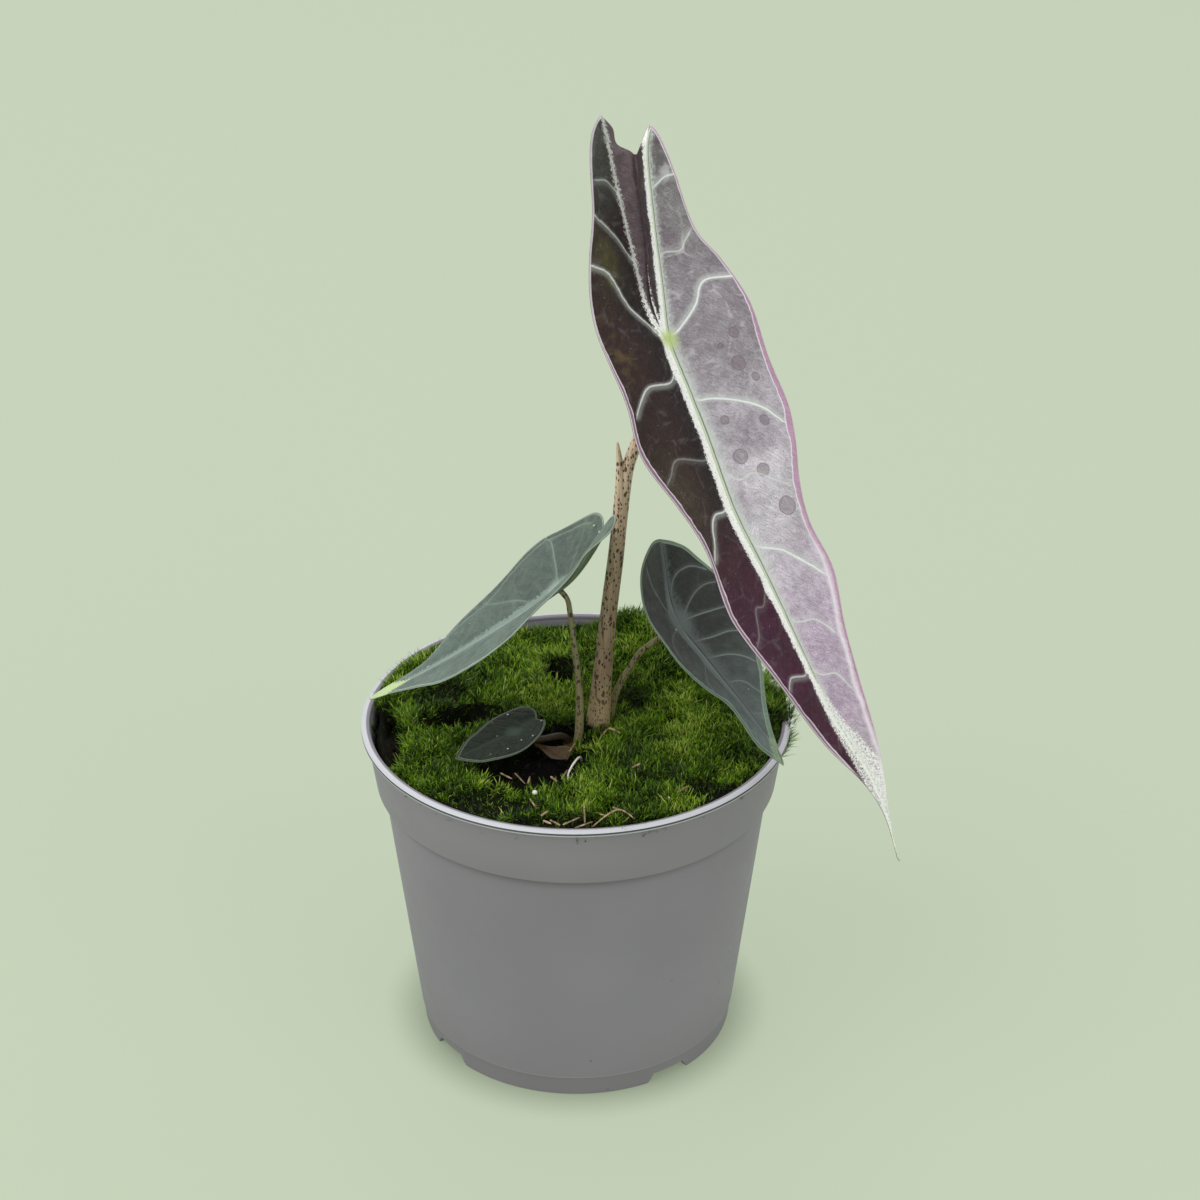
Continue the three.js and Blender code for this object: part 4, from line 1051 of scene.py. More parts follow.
# Each petiole: points of its middle line, and the radius at each
PETIOLES = {
    "petiole_main": (
        [
            (6, -1.8, FOOT), (6.3, -1.6, 98), (7.7, -1.1, 115), (9.1, -0.8, 131), (10.9, -0.4, 147),
            (12.4, -0.1, 162), (14.2, 0, 175), (17.4, 0.2, 185), (21, -0.8, 199),
            under_junction(LEAVES["main"], 7), petiole_top(LEAVES["main"]),
        ],
        [3.5, 3.3, 2.6, 2.3, 2.2, 2, 1.7, 1.55, 1.45, 1.4, 1.6]),
    "petiole_left": (
        [
            (0.5, -7.6, FOOT), (0.9, -7.6, 97), (1.2, -7.6, 107), (0.4, -7.4, 118), (-0.5, -7.2, 126),
            (-1.4, -7, 134.5), under_junction(LEAVES["left"], 4), petiole_top(LEAVES["left"]),
        ],
        [1.35, 1.25, 1.1, 0.95, 0.8, 0.75, 0.7, 0.8]),
    "petiole_right": (
        [
            (9.6, 2.6, FOOT), (9.8, 2.2, 98), (10.8, 1.5, 103), (12.6, 0.6, 108.3), (15.4, -1, 114.5),
            (18.4, -2.4, 120.2), under_junction(LEAVES["right"], 4), petiole_top(LEAVES["right"]),
        ],
        [1.2, 1.15, 1.05, 1, 0.9, 0.85, 0.8, 0.8]),
    "petiole_small": (
        [
            (-2.4, -5.6, FOOT), (-2.8, -6, 94.2), (-4.8, -8, 96), (-9.2, -11.5, 97.2), (-14, -14.3, 98.6),
            petiole_top(LEAVES["small"]),
        ],
        [1.1, 1.1, 1, 0.9, 0.75, 0.7]),
}
SHEATH = (
    [(11.2, -0.5, 150), (12, -0.6, 162), (12.2, -0.6, 173), (11.4, -0.6, 182.6)],
    [1.9, 1.8, 1.3, 0.25])


def petiole_look(name, foot, low, high, dash, rate):
    """Lengthwise grain and dark dashes, both hidden in part by a paler foot."""
    look = Look(name, Specular_IOR_Level=0.4)
    at = look.place()
    rise = look.attribute("rise")
    tone = look.blend(rise, rgba(*low), rgba(*high))
    grain = look.noise(look.stretch(at, (1400.0, 1400.0, 90.0)), 1.0, 4.0)
    dark = look.blend(1.0, tone, (0.55, 0.5, 0.44, 1), "MULTIPLY")
    tone = look.blend(look.span(grain, 0.4, 0.68, 0.0, 0.6), tone, dark)
    wander = look.noise(at, 500.0, 2.0, 0.5, output="Color")
    marks = 0.0
    for round_scale, long_scale in ((1150.0, 620.0), (1800.0, 1000.0)):
        cell = look.stretch(at, (round_scale, round_scale, long_scale))
        cell = look.node("ShaderNodeMix", {0: 0.12, 4: cell, 5: wander}, 1, data_type="VECTOR")
        chance = look.axis(look.cells(cell, 1.0, output="Color", jitter=0.85), 0)
        size = look.span(chance, 1 - rate, 1.0, 0.0, 0.5)
        mark = look.span(look.cells(cell, 1.0, jitter=0.85) - size, -0.12, 0.0, 1.0, 0.0)
        marks = look.math("MAXIMUM", mark, marks)
    streak = look.noise(look.stretch(at, (900.0, 900.0, 60.0)), 1.0, 2.0, 0.5, 0.4)
    streak = look.span(streak, 0.62, 0.7) * look.span(rise, 0.2, 0.9, 0.8, 0.2)
    marks = look.math("MAXIMUM", marks, streak)
    height = look.axis(at, 2)
    tone = look.blend(look.span(height, 0.094, 0.118, 0.75, 0.0), tone, rgba(*foot))
    marks = marks * look.span(height, 0.094, 0.112, 0.5, 0.9)
    look.set("Base Color", look.blend(marks, tone, rgba(*dash)))
    look.set("Roughness", look.span(grain, 0.3, 0.7, 0.42, 0.62))
    look.bump(grain + marks * -0.5, 0.4, 0.0001)
    return look.material


main_skin = petiole_look(
    "petiole_brown", (196, 178, 134), (160, 138, 110), (216, 192, 166), (44, 22, 22), 1.0)
dark_skin = petiole_look("petiole_dark", (66, 56, 38), (60, 52, 36), (72, 66, 44), (24, 18, 12), 0.9)
thin_skin = petiole_look(
    "petiole_olive", (150, 140, 100), (140, 134, 98), (146, 142, 104), (48, 40, 26), 0.95)

for name, route in PETIOLES.items():
    if name == "petiole_main":
        points, faces = join([tube(*route, 28, 220), tube(*SHEATH, 20, 70)])
    else:
        points, faces = tube(*route, 18, 120)
    stalk = mesh_object(name.replace("petiole", "stalk"), points, faces)
    set_number(stalk, "rise", smooth(112, 185, points[:, 2]))
    skin = {"petiole_main": main_skin, "petiole_small": dark_skin}.get(name, thin_skin)
    place(stalk, skin, "petiole_skin", name)


# The buried stem, its roots and the pale root that arches over the moss

STEM = ([(5, -3, 92.3), (4.5, -2.5, 80.3), (5, -1, 58.3)], [9, 7.65, 2.5])
# Roots: [direction in radians, start height, reach]
ROOTS = [
    (0.12, 65.9, 29.8), (1.36, 81.4, 32.8), (1.98, 81.3, 23.3), (3.18, 64.8, 28.9), (3.82, 72.4, 29.8),
    (4.88, 68.3, 27.5), (5.62, 67, 26.8),
]
AIR_ROOT = [
    (0, -8, 86), (1.4, -14, 90), (1.7, -18.5, 95), (0.8, -22.5, 97.8), (-0.9, -27.5, 98.2),
    (-1.9, -31.2, 97.8), (-1.9, -33.4, 96.6),
]


def root_stock():
    """The stem, the roots in the soil and, last, the pale root in the air."""
    parts = [tube(*STEM, 40, 60)]
    for turn, start, reach in ROOTS:
        route = []
        for share, swing, fall in ((0.08, 0, 0), (0.4, 0.12, 4), (0.72, -0.1, 14), (1, 0.1, 27)):
            x = 5 + math.cos(turn + swing) * reach * share
            y = -3 + math.sin(turn + swing) * reach * share
            route.append((x, y, start - fall))
        parts.append(tube(route, [1.08, 0.9, 0.72, 0.4], 10, 40))
    parts.append(tube(AIR_ROOT, [0.4, 0.4, 0.3, 0.3, 0.3, 0.26, 0.22], 14, 60))
    return parts


def root_look():
    look = Look("root_skin", Specular_IOR_Level=0.4)
    at = look.place()
    fine = look.noise(at, 900.0, 4.0)
    band = look.noise(look.stretch(at, (30.0, 30.0, 900.0)), 1.0, 3.0)
    tone = look.blend(look.span(band, 0.4, 0.6), rgba(112, 84, 56), rgba(160, 130, 94))
    pale = look.blend(look.span(fine, 0.4, 0.6), rgba(238, 232, 218), rgba(252, 250, 242))
    look.set("Base Color", look.blend(look.attribute("pale"), tone, pale))
    look.set("Roughness", look.span(fine, 0.3, 0.7, 0.4, 0.6))
    look.bump(fine + band, 0.3, 0.0002)
    return look.material


stock_parts = root_stock()
stock = mesh_object("root_stock", *join(stock_parts))
is_pale = [0.0] * (len(stock_parts) - 1) + [1.0]
set_number(stock, "pale", np.repeat(is_pale, [len(points) for points, faces in stock_parts]))
place(stock, root_look(), "root_skin", "rhizome")


# The pot

# [radius, height], outside first, then over the lip and down the inside
POT_PROFILE = [
    (0, 1.2), (15, 1.2), (16.5, 3.2), (42.5, 3.2), (42.7, 0.25), (43, 0), (44.2, 0), (44.6, 0.2),
    (44.75, 0.8), (45.1, 6), (45.3, 6.35), (45.65, 6.6), (46.3, 12), (54.25, 79.0), (55.3, 79.15),
    (56, 79.4), (56.25, 80), (58.55, 95.7), (58.75, 96.2), (59.6, 96.25), (59.9, 96.5), (60, 96.7),
    (59.97, 96.86), (59.55, 96.96), (59.55, 97.3), (59.95, 97.42), (59.7, 97.8), (59.2, 98),
    (58.2, 98), (57.7, 97.8), (57.4, 97.2), (57.2, 95), (54.8, 79.7), (53, 77.2), (44.3, 6.2),
    (42.8, 4.7), (15, 4.7), (13.5, 2.7), (0, 2.7),
]
NOTCH_ANGLES = (-54, 36, 126, 216)
# Degrees from a notch's middle at which the shell has a row of points
NOTCH_STEPS = (-10, -9.1, -9, -8.2, -6.6, -6.4, -4, -2, 0, 2, 4, 6.4, 6.6, 8.2, 9, 9.1, 10)
NOTCH_HEIGHT = 3
DRAIN_AT = (0, -37.7)
DRAIN_HALF = (5, 2.4)


def from_notch(degrees):
    """Degrees between a direction and the nearest notch."""
    return np.min([np.abs((degrees - base + 180) % 360 - 180) for base in NOTCH_ANGLES], axis=0)


def pot_mesh():
    """A turned shell whose foot ring lifts off the ground at the notches."""
    near = {round((base + step) % 360, 3) for base in NOTCH_ANGLES for step in NOTCH_STEPS}
    degrees = np.array(sorted(near | {2.0 * k for k in range(180) if from_notch(2 * k) > 11}))
    profile = []
    for (r0, z0), (r1, z1) in zip(POT_PROFILE[:-1], POT_PROFILE[1:]):
        steps = max(1, int(math.hypot(r1 - r0, z1 - z0) / 6))
        profile += [(mix(r0, r1, k / steps), mix(z0, z1, k / steps)) for k in range(steps)]
    profile = np.array(profile[1:])
    lift = NOTCH_HEIGHT * (1 - np.clip((from_notch(degrees) - 6.5) / 2.5, 0, 1))
    r, z = (np.repeat(column[:, None], len(degrees), 1) for column in profile.T)
    foot = (profile[:, 0] > 42.4) & (profile[:, 1] < 3.05) & (profile[:, 0] < 45.2)
    z[foot] = np.maximum(z[foot], lift[None])
    angles = np.radians(degrees)
    points = np.stack([r * np.sin(angles), -r * np.cos(angles), z], -1).reshape(-1, 3)
    centres = [(0, 0, height) for _, height in (POT_PROFILE[0], POT_PROFILE[-1])]
    return np.concatenate([points, centres]), ring_faces(len(profile), len(degrees))


def pot_look():
    """Grey plastic, its heights in millimetres: painted highlight on the foot line, painted shade under the
    collar, collar, painted highlight on the lip and painted shade in its groove.
    """
    look = Look("grey_plastic", Specular_IOR_Level=0.4)
    at = look.place()
    broad = look.noise(at, 18.0, 2.0)
    patches = look.span(broad, 0.3, 0.7)
    fine = look.noise(at, 900.0, 3.0)
    dust = look.noise(at, 75.0, 6.0, 0.65)
    height = look.axis(at, 2) * (1 / MM)
    tone = look.blend(patches, rgba(132, 128, 137), rgba(138, 134, 143))
    tone = look.blend(look.span(height, 0.0, 30.0, 0.35, 0.0), tone, rgba(128, 125, 129))
    tone = look.blend(look.span(dust, 0.6, 0.78, 0.0, 0.25), tone, rgba(140, 139, 134))
    # Painted highlight: a pale line along the foot's upper edge.
    tone = look.blend(look.span(abs(height - 6.45), 0.18, 0.4, 0.6, 0.0), tone, rgba(168, 168, 176))
    # Painted shade: darker just under the collar's step.
    tone = look.blend(look.span(height, 75.2, 78.8, 0.0, 0.4), tone, rgba(84, 82, 84))
    collar = look.blend(patches, rgba(134, 130, 138), rgba(140, 136, 144))
    tone = look.blend(look.span(height, 78.9, 79.5), tone, collar)
    speck = look.span(look.cells(at, 160.0), 0.03, 0.07, 1.0, 0.0) * look.span(broad, 0.52, 0.6) * 0.6
    tone = look.blend(speck, tone, rgba(66, 60, 54))
    # Painted highlight: the lip's outer roll paler and glossier.
    lip_highlight = look.span(height, 96.25, 96.4) * look.span(look.off_axis(at), 0.0584, 0.0587)
    tone = look.blend(lip_highlight * look.span(height, 97.0, 97.3, 0.62, 0.95), tone, rgba(208, 210, 215))
    # Painted shade: a dark line in the groove below the lip's top.
    tone = look.blend(look.span(abs(height - 97.13), 0.22, 0.36, 0.9, 0.0), tone, rgba(96, 98, 104))
    look.set("Base Color", tone)
    look.set("Roughness", look.span(dust, 0.3, 0.7, 0.5, 0.62) - lip_highlight * 0.2)
    look.bump(fine + dust * 0.5, 0.25, 0.00006)
    return look.material


def drain_cutter():
    """Upright oval rods through the floor of the pot, one inside each notch."""
    sides = 28
    turn = np.arange(sides) / sides * TAU
    x = DRAIN_AT[0] + DRAIN_HALF[0] * np.cos(turn)
    y = DRAIN_AT[1] + DRAIN_HALF[1] * np.sin(turn)
    parts = []
    for angle in np.radians(NOTCH_ANGLES):
        c, s = math.cos(angle), math.sin(angle)
        flat = np.stack([x * c - y * s, x * s + y * c], 1)
        ends = [np.concatenate([flat, np.full((sides, 1), z)], 1) for z in (-2, 4.95)]
        centres = [end.mean(0, keepdims=True) for end in ends]
        parts.append((np.concatenate([*ends, *centres]), ring_faces(2, sides)))
    return mesh_object("drain_cutter", *join(parts))


def cut(piece, cutter):
    """The piece's mesh less the cutter's; the cutter is removed."""
    modifier = piece.modifiers.new("cut", "BOOLEAN")
    modifier.operation = "DIFFERENCE"
    modifier.solver = "EXACT"
    modifier.object = cutter
    result = bpy.data.meshes.new_from_object(piece.evaluated_get(bpy.context.evaluated_depsgraph_get()))
    piece.modifiers.remove(modifier)
    piece.data = result
    bpy.data.objects.remove(cutter)


pot = mesh_object("pot_shell", *pot_mesh())
cut(pot, drain_cutter())
place(pot, pot_look(), "pot_plastic", "pot")
pot.data.polygons.foreach_set("use_smooth", np.ones(len(pot.data.polygons), bool))
split = pot.modifiers.new("corners", "EDGE_SPLIT")
split.split_angle = math.radians(38)


# Moss and soil

MOSS_LEVEL = 97.3
# Hollows: [centre x, centre y, half width, half depth, turn in degrees]
HOLLOWS = [
    (-5.6, 28, 4.6, 6.5, 10),
    (-32.5, 1, 10, 6, 18),
    (-11.8, -22.5, 16.5, 13.6, 0),
    (-3.5, -9.5, 8, 6, 10),
    (-52.6, -9, 4.5, 17, 8),
]
# Thin, dull moss: [centre x, centre y, half width, half depth, how thin]
DULL = [
    (-25, -44, 17, 8, 1.0), (-8, -53, 18, 4, 0.7), (39, -39, 12, 5, 0.8), (24, -11, 8, 4, 0.4),
    (-40, 11, 8, 5, 0.6), (-22, 4, 12, 9, 0.45), (2, 33, 9, 6, 0.4),
]
# Mounds and dips: [centre x, centre y, reach, rise]
MOUNDS = [
    (24, 46, 19, 7.5), (-46, 26, 16, 3), (58, 8, 17, 3.6), (-8, 60, 20, -2.6), (14, -30, 16, 1.2),
    (-20, -52, 20, -0.8),
]


def relief(x, y):
    """Gentle waves in millimetres."""
    return (0.7 * np.sin(0.21 * x + 1.3) * np.cos(0.17 * y - 0.4)
            + 0.45 * np.sin(0.37 * x - 0.29 * y) + 0.3 * np.cos(0.55 * y + 0.31 * x + 2))


def moss_top(x, y):
    z = MOSS_LEVEL + relief(x, y)
    for cx, cy, reach, rise in MOUNDS:
        z = z + rise * np.exp(-((x - cx) ** 2 + (y - cy) ** 2) / reach**2)
    return z


def hollow_depth(x, y):
    """1 in the middle of a hollow, 0 outside, ragged at its edge."""
    best = np.zeros_like(x)
    ragged = 0.22 * value_noise(x, y, 2.6, 41) + 0.12 * value_noise(x, y, 1.1, 42)
    for cx, cy, half_width, half_depth, turn in HOLLOWS:
        c, s = math.cos(math.radians(turn)), math.sin(math.radians(turn))
        u = ((x - cx) * c + (y - cy) * s) / half_width
        v = (-(x - cx) * s + (y - cy) * c) / half_depth
        best = np.maximum(best, 1 - smooth(0.82, 1.08, np.hypot(u, v) + ragged))
    return best


def moss_reach(angle):
    """How far the moss reaches from the pot's axis: over the lip at the right only."""
    off = np.abs((angle - math.radians(6) + math.pi) % TAU - math.pi)
    return 57.0 + 3.2 * (1 - smooth(math.radians(16), math.radians(34), off))


def lumps(x, y):
    """Small cushions in the moss."""
    return 0.7 * value_noise(x, y, 4.2, 51) + 0.4 * value_noise(x, y, 1.9, 52)


def bed(name, surface, reach, rings, around, walls):
    """A closed round bed: a polar grid on top, then rings down its side as (inset, height)."""
    turn = np.arange(around) / around * TAU
    edge = reach(turn)
    out = np.sqrt(np.linspace(0, 1, rings + 1))[1:, None] * edge
    x, y = (np.r_[(out * side(turn)).ravel(), 0] for side in (np.cos, np.sin))
    top = np.stack([x, y, surface(x, y)], 1)
    parts = [top[:-1]]
    for inset, height in walls:
        radius = edge - inset
        parts.append(np.stack([radius * np.cos(turn), radius * np.sin(turn), np.full(around, height)], 1))
    points = np.concatenate([*parts, top[-1:], [[0, 0, walls[-1][1]]]])
    return mesh_object(name, points, ring_faces(rings + len(walls), around)[:, ::-1])


def thinness(x, y):
    """How sparse the moss is, from 0 to 1."""
    best = 0 * x
    for cx, cy, half_width, half_depth, most in DULL:
        gap = np.hypot((x - cx) / half_width, (y - cy) / half_depth)
        best = np.maximum(best, most * (1 - smooth(0.5, 1.15, gap + 0.25 * value_noise(x, y, 3, 43))))
    return best


def core_surface(x, y):
    """Height of the moss's dark base, which sinks to the soil in the hollows."""
    open_share = hollow_depth(x, y)
    top = moss_top(x, y) + lumps(x, y) - 1.1
    edge = np.hypot(x, y)
    top = top - 1.6 * smooth(54, 57, edge) * (1 - smooth(0.98, 1.0, edge / 60)) - 1.3 * thinness(x, y)
    return mix(top, 90.4 + 0.2 * relief(y, x), open_share)


def core_look():
    look = Look("moss_base", Roughness=0.95, Specular_IOR_Level=0.2)
    at = look.place()
    patches = look.noise(at, 320.0, 5.0, 0.65)
    look.set("Base Color", look.ramp(patches, [
        (0.3, linear(8, 8, 4)), (0.5, linear(14, 18, 4)), (0.72, linear(30, 42, 8))]))
    look.bump(patches, 0.8, 0.0006)
    return look.material


core = bed(
    "moss_cushion", core_surface, lambda turn: np.minimum(moss_reach(turn) - 1, 59.2), 100, 240,
    [(1.2, 96), (3, 90.2)])
place(core, core_look(), "moss", "moss")


def soil_surface(x, y):
    """Height of the soil, heaped at the left wall and in the front hollow."""
    crumbs = 0.5 * value_noise(x, y, 1.6, 61) + 0.3 * value_noise(x, y, 0.8, 62)
    crumbs += 0.8 * value_noise(x, y, 4, 63)
    heap = 3.4 * np.exp(-((x + 53.5) ** 2 + (y + 9) ** 2) / 36)
    heap = heap + 3.4 * np.exp(-((x + 6.6) ** 2 + (y + 16.8) ** 2) / 26)
    return 90.2 + 0.8 * relief(y, x) + crumbs + heap


def soil_look():
    look = Look("potting_mix", Roughness=0.9, Specular_IOR_Level=0.2)
    at = look.place()
    crumbs = look.noise(at, 700.0, 6.0, 0.7)
    tone = look.ramp(crumbs, [
        (0.3, linear(4, 3, 3)), (0.5, linear(22, 16, 12)), (0.7, linear(52, 38, 28)),
        (0.82, linear(80, 62, 46))])
    # Painted shade: the soil goes near black around the deep front hollow.
    from_shaded_pit = {0: at, 1: (-0.009, -0.019, 0.091)}
    from_shaded_pit = look.node("ShaderNodeVectorMath", from_shaded_pit, "Value", operation="DISTANCE")
    tone = look.blend(look.span(from_shaded_pit, 0.016, 0.024, 0.8, 0.0), tone, (0.0006, 0.0005, 0.0004, 1))
    look.set("Base Color", tone)
    look.bump(crumbs, 1.0, 0.0006)
    return look.material


soil = bed(
    "soil_bed", soil_surface, lambda turn: np.full_like(turn, 55.8), 80, 200,
    [(1.4, 80.5), (3, 77), (11.6, 6.5), (13, 5)])
place(soil, soil_look(), "soil", "soil")

TUFTS = 6400
SHOOTS_PER_TUFT = 5


def keep_clear(x, y):
    """False where a petiole or the root in the air stands."""
    clear = np.ones(len(x), bool)
    for (cx, cy), radius in [((6.2, -1.7), 3.1), ((0.8, -7.6), 1.2), ((9.8, 2.3), 1.1)]:
        clear &= np.hypot(x - cx, y - cy) > radius
    root = np.array(AIR_ROOT)[2:, :2]
    return clear & (line_distance(np.stack([x, y], 1), [root]) > 1.7)


def moss_shoots(name, seed, look):
    """Tufts of narrow pointed leaves, each a thin three-sided blade bent over at its tip."""
    random = np.random.default_rng(seed)
    turn = random.uniform(0, TAU, TUFTS)
    radius = np.sqrt(random.uniform(0, 1, TUFTS)) * moss_reach(turn)
    x, y = radius * np.cos(turn), radius * np.sin(turn)
    open_share = np.maximum(hollow_depth(x, y), 0.9 * thinness(x, y))
    keep = (open_share < random.uniform(0.02, 1.1, TUFTS)) & keep_clear(x, y)
    x, y, open_share = x[keep], y[keep], open_share[keep]
    bright = 0.5 + 0.32 * value_noise(x, y, 13, 72) + 0.2 * value_noise(x, y, 5, 71)
    bright += random.normal(0, 0.17, len(x)) - 0.45 * open_share
    length = random.uniform(2.0, 4.4, len(x)) * (1 - 0.45 * open_share)
    lean = np.stack([value_noise(x, y, 6, 73), value_noise(x, y, 6, 74)], 1) * 0.35
    lean += random.normal(0, 0.25, (len(x), 2))
    own = np.repeat(np.arange(len(x)), SHOOTS_PER_TUFT)
    total = len(own)
    turn = random.uniform(0, TAU, total)
    spread = np.abs(random.normal(0, 0.55, total))
    around = np.stack([np.cos(turn), np.sin(turn)], 1)
    base = np.stack([x[own], y[own]], 1) + around * random.uniform(0, 1.3, total)[:, None]
    sideways = lean[own] + around * spread[:, None]
    radius = np.hypot(x[own], y[own])
    outward = 0.5 * smooth(53, 58, radius) * np.where(np.abs(y[own]) < 30, 1, 0.2) * (x[own] > 0)
    sideways += (outward / np.maximum(radius, 1))[:, None] * np.stack([x[own], y[own]], 1)
    direction = np.concatenate([sideways, np.ones((total, 1))], 1)
    direction /= np.linalg.norm(direction, axis=1)[:, None]
    tall = length[own] * random.uniform(0.45, 1.15, total)
    root = np.concatenate([base, (core_surface(base[:, 0], base[:, 1]) - 0.5)[:, None]], 1)
    droop = np.concatenate([sideways, np.full((total, 1), -0.35)], 1) * 0.16
    tip = root + (direction + droop) * tall[:, None]
    middle = root + direction * tall[:, None] * 0.55
    flat = np.stack([-np.sin(turn), np.cos(turn), 0 * turn], 1) * random.uniform(0.1, 0.17, total)[:, None]
    thick = np.cross(direction, flat) * 0.35
    points = np.stack([root, middle - flat, middle + flat, middle + thick, tip], 1)
    corners = np.array([(1, 3, 4), (3, 2, 4), (2, 1, 4), (0, 2, 3), (0, 3, 1), (0, 1, 2)])
    faces = (np.arange(total)[:, None, None] * points.shape[1] + corners).reshape(-1, 3)
    made = mesh_object(name, points.reshape(-1, 3), faces, False)
    # The UV map that the shoots' material reads: tone across, and height on the shoot upwards
    uv = np.zeros((*points.shape[:2], 2))
    uv[:, :, 0] = np.clip(bright[own] + random.normal(0, 0.2, total), 0.02, 0.98)[:, None]
    uv[:, :, 1] = [0.03, 0.5, 0.5, 0.5, 0.97]
    set_uv(made, "OFBake", uv.reshape(-1, 2))
    place(made, look, "moss")


def shoot_look():
    look = Look("moss_shoots", Roughness=0.5, Specular_IOR_Level=0.35)
    tone, tip = (look.axis(look.uv("OFBake"), number) for number in range(2))
    low = look.ramp(tone, [(0.0, linear(10, 13, 3)), (0.5, linear(22, 34, 2)), (1.0, linear(42, 62, 3))])
    high = look.ramp(tone, [
        (0.0, linear(34, 43, 14)), (0.3, linear(66, 100, 5)), (0.6, linear(114, 166, 6)),
        (0.85, linear(168, 212, 32)), (1.0, linear(212, 224, 110))])
    look.set("Base Color", look.blend(look.span(tip, 0.15, 0.9), low, high))
    return look.material


shoot_finish = shoot_look()
for number in range(3):
    moss_shoots(f"moss_shoots_{number + 1}", 101 + number, shoot_finish)


# Bits of straw, crumbs and grains on the moss and in its hollows

STRAWS = [
    [(-8.2, -55.4), (-6.1, -57)], [(-6.4, -54.9), (-3.7, -57)], [(-3, -56.4), (1.5, -52.3)],
    [(0.2, -56.6), (4.9, -54.2)],
    [(4.6, -56.6), (8.8, -53.3), (11.5, -51.8), (13.6, -53.5), (15.9, -55.5)],
    [(2.5, -47.6), (2.8, -54.9)],
    [(10.1, -48.2), (12, -50.4)], [(6.7, -51.1), (8.3, -52.8)], [(-2.1, -29.6), (-3.7, -34.4)],
    [(-6.5, -33.6), (-4.8, -36.7)], [(12.3, -12.9), (9.2, -10.5), (7, -12.4)], [(-12.7, -34.1),
     (-12.2, -30.1)],
    [(-16.3, -29.6), (-13.5, -33.1)], [(-20.3, -29.6), (-17, -31.6)], [(-8.8, -51.5), (-7, -49.1)],
    [(17.6, -28.5), (15.4, -30.1)], [(27.3, -42.2), (30.3, -38.7)], [(-11.9, -44.6), (-10, -48.1)],
    [(0.4, -12.7), (-1.6, -17.1)],
]
GRAINS = [(-10.7, -40.2, 0.75), (25.1, -43.7, 0.3)]


def debris():
    """Straws and grains laid on the moss, fibres and crumbs in the hollows."""
    random = np.random.default_rng(77)
    straws, crumbs, grains = [], [], []
    for line in STRAWS:
        line = np.array(line, float)
        lift = np.sin(np.linspace(0, math.pi, len(line))) * 0.8
        x, y = line.T
        z = moss_top(x, y) + 1.3 + lift - 1.2 * hollow_depth(x, y)
        route = spline(np.stack([x, y, z], 1), np.linspace(0, len(line) - 1, 5))
        straws.append(tube(route, np.array([0.7, 1, 1, 0.9, 0.5]) * random.uniform(0.2, 0.32), 8, 14))
    for cx, cy, half_width, half_depth, _ in HOLLOWS:
        for _ in range(int(half_width * half_depth * 0.35)):
            turn, out = random.uniform(0, TAU), math.sqrt(random.uniform(0, 1))
            x = cx + math.cos(turn) * out * half_width
            y = cy + math.sin(turn) * out * half_depth
            if math.hypot(x, y) > 54.5:
                continue
            z = float(max(soil_surface(x, y), core_surface(np.array([x]), np.array([y]))[0]))
            axis = random.normal(0, 1, 3)
            if random.uniform() < 0.72:
                radius = random.uniform(0.25, 0.85)
                crumbs.append(ball((x, y, z + 0.1), axis, radius, random.uniform(0.5, 0.9), 7))
            else:
                reach = random.uniform(1, 2.6)
                swing = random.uniform(0, TAU)
                rise = random.uniform(-0.1, 0.8)
                ahead = np.array([math.cos(swing) * reach, math.sin(swing) * reach, rise])
                start = np.array([x, y, z + 0.3])
                bend = random.normal(0, 0.3, 3)
                route = [start, start + ahead * 0.5 + bend, start + ahead]
                crumbs.append(tube(route, [0.1, 0.12, 0.06], 5, 6))
    for number, (x, y, radius) in enumerate(GRAINS):
        z = float(moss_top(x, y)) + 0.9
        grains.append(ball((x, y, z), (0.3, 0.2, 1), radius, 0.85, 500 + number))
    return straws, crumbs, grains


def plain_look(name, low, high, scale, rough):
    look = Look(name, Roughness=rough, Specular_IOR_Level=0.3)
    share = look.span(look.noise(look.place(), scale, 4.0), 0.35, 0.65)
    look.set("Base Color", look.blend(share, rgba(*low), rgba(*high)))
    return look.material


straws, crumbs, grains = debris()
for name, parts, slot, finish in (
    ("straw_bits", straws, "dry_leaf", ("straw", (112, 92, 66), (190, 168, 132), 600.0, 0.6)),
    ("soil_crumbs", crumbs, "soil", ("crumbs", (8, 6, 5), (44, 33, 24), 260.0, 0.9)),
    ("perlite", grains, "soil", ("perlite", (226, 224, 216), (250, 248, 244), 900.0, 0.8)),
):
    place(mesh_object(name, *join(parts)), plain_look(*finish), slot)


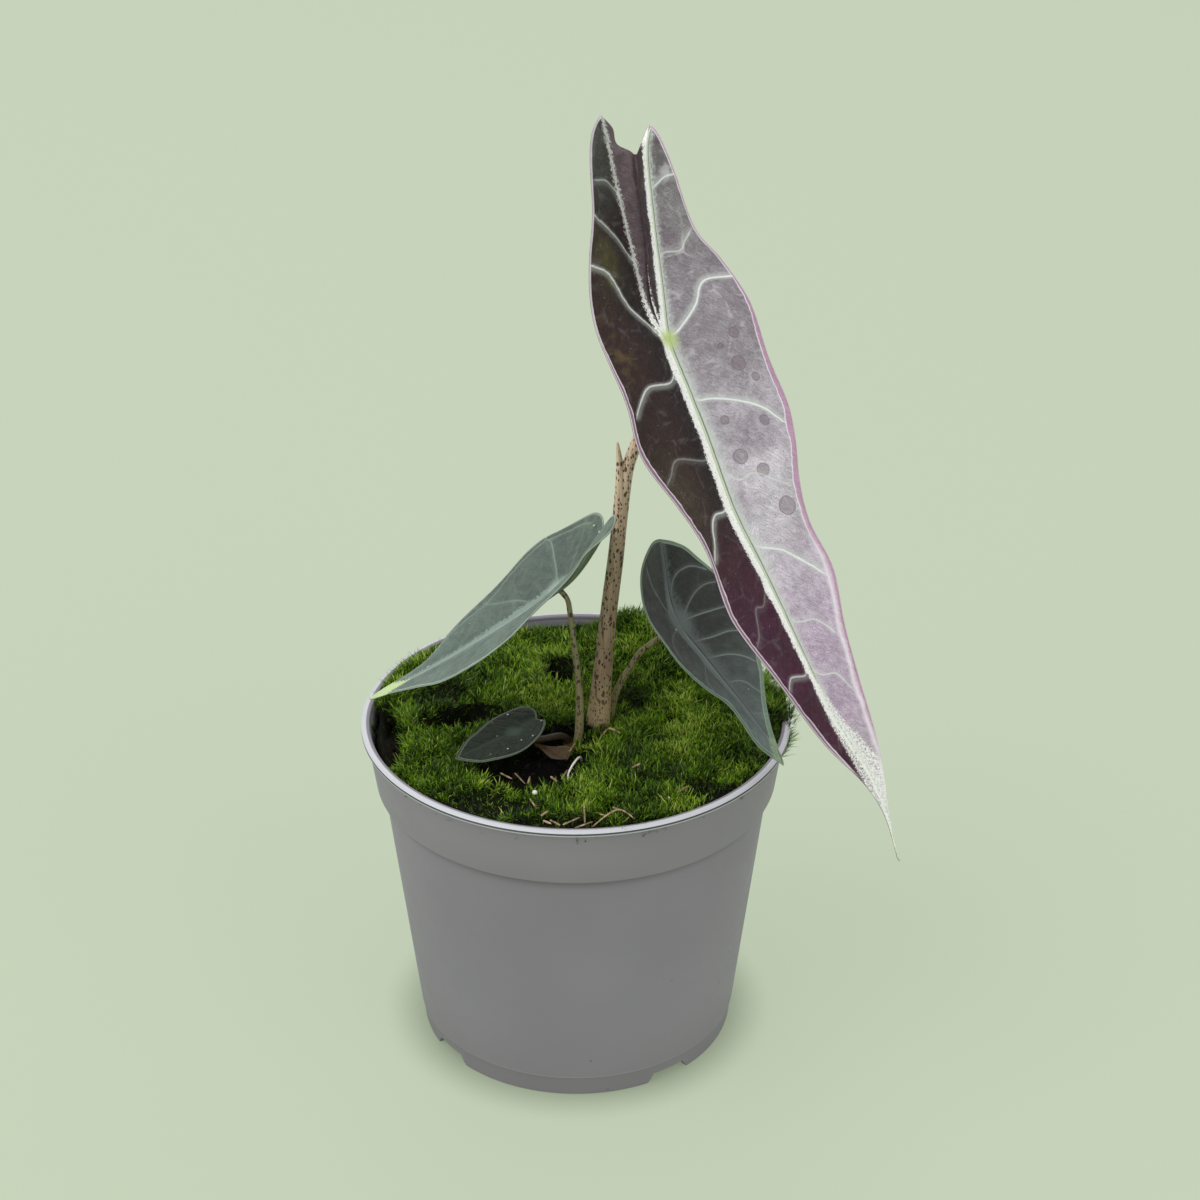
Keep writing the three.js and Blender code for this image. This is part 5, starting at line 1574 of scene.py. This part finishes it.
# Floor, light and camera

# Lights: [place, aimed at, width, watts]; lengths in metres
LIGHTS = {
    "key": ((-1.3, -0.7, 1.5), (0, 0, 0.12), 2.0, 16),
    "fill": ((1.4, -1.2, 1.3), (0, 0, 0.1), 1.8, 8),
    "back": ((-0.3, 1.5, 1.6), (0, 0, 0.15), 1.2, 5),
}
SKY = 0.72
CAMERA_AT = (0.00674, -0.7023, 0.5177)
CAMERA_DOWN = 28.61
CAMERA_LENS = 87.7


def stage_floor():
    """A pale green floor that glows evenly, with a painted contact shadow under the pot."""
    bpy.ops.mesh.primitive_plane_add(size=12, location=(0, 0, 0))
    floor = bpy.context.object
    floor.name = "floor"
    look = Look("floor", Roughness=0.9, Specular_IOR_Level=0.1)
    look.set("Base Color", rgba(116, 124, 108))
    # Painted shadow: the floor glows less under and around the pot's foot.
    beyond_painted_shadow = look.span(look.off_axis(look.place()), 0.041, 0.058)
    look.set("Emission Color", look.blend(beyond_painted_shadow, rgba(118, 127, 108), rgba(166, 176, 155)))
    look.set("Emission Strength", 1.0)
    floor.data.materials.append(look.material)


def area_light(name, where, target, size, power):
    data = bpy.data.lights.new(name, "AREA")
    data.shape = "DISK"
    data.size = size
    data.energy = power
    made = bpy.data.objects.new(name, data)
    bpy.context.scene.collection.objects.link(made)
    made.location = where
    made.rotation_euler = (Vector(target) - Vector(where)).to_track_quat("-Z", "Y").to_euler()


stage_floor()
for name, light in LIGHTS.items():
    area_light(name, *light)
world = bpy.data.worlds.new("studio")
bpy.context.scene.world = world
world.use_nodes = True
background = world.node_tree.nodes["Background"]
background.inputs["Color"].default_value = (1, 1, 1, 1)
background.inputs["Strength"].default_value = SKY

bpy.context.scene.view_settings.view_transform = "Standard"

camera_data = bpy.data.cameras.new("camera")
camera_data.lens = CAMERA_LENS
camera_data.sensor_width = 36
camera_data.clip_start = 0.05
camera = bpy.data.objects.new("camera", camera_data)
bpy.context.scene.collection.objects.link(camera)
camera.location = CAMERA_AT
camera.rotation_euler = (math.radians(90 - CAMERA_DOWN), 0, 0)
bpy.context.scene.camera = camera
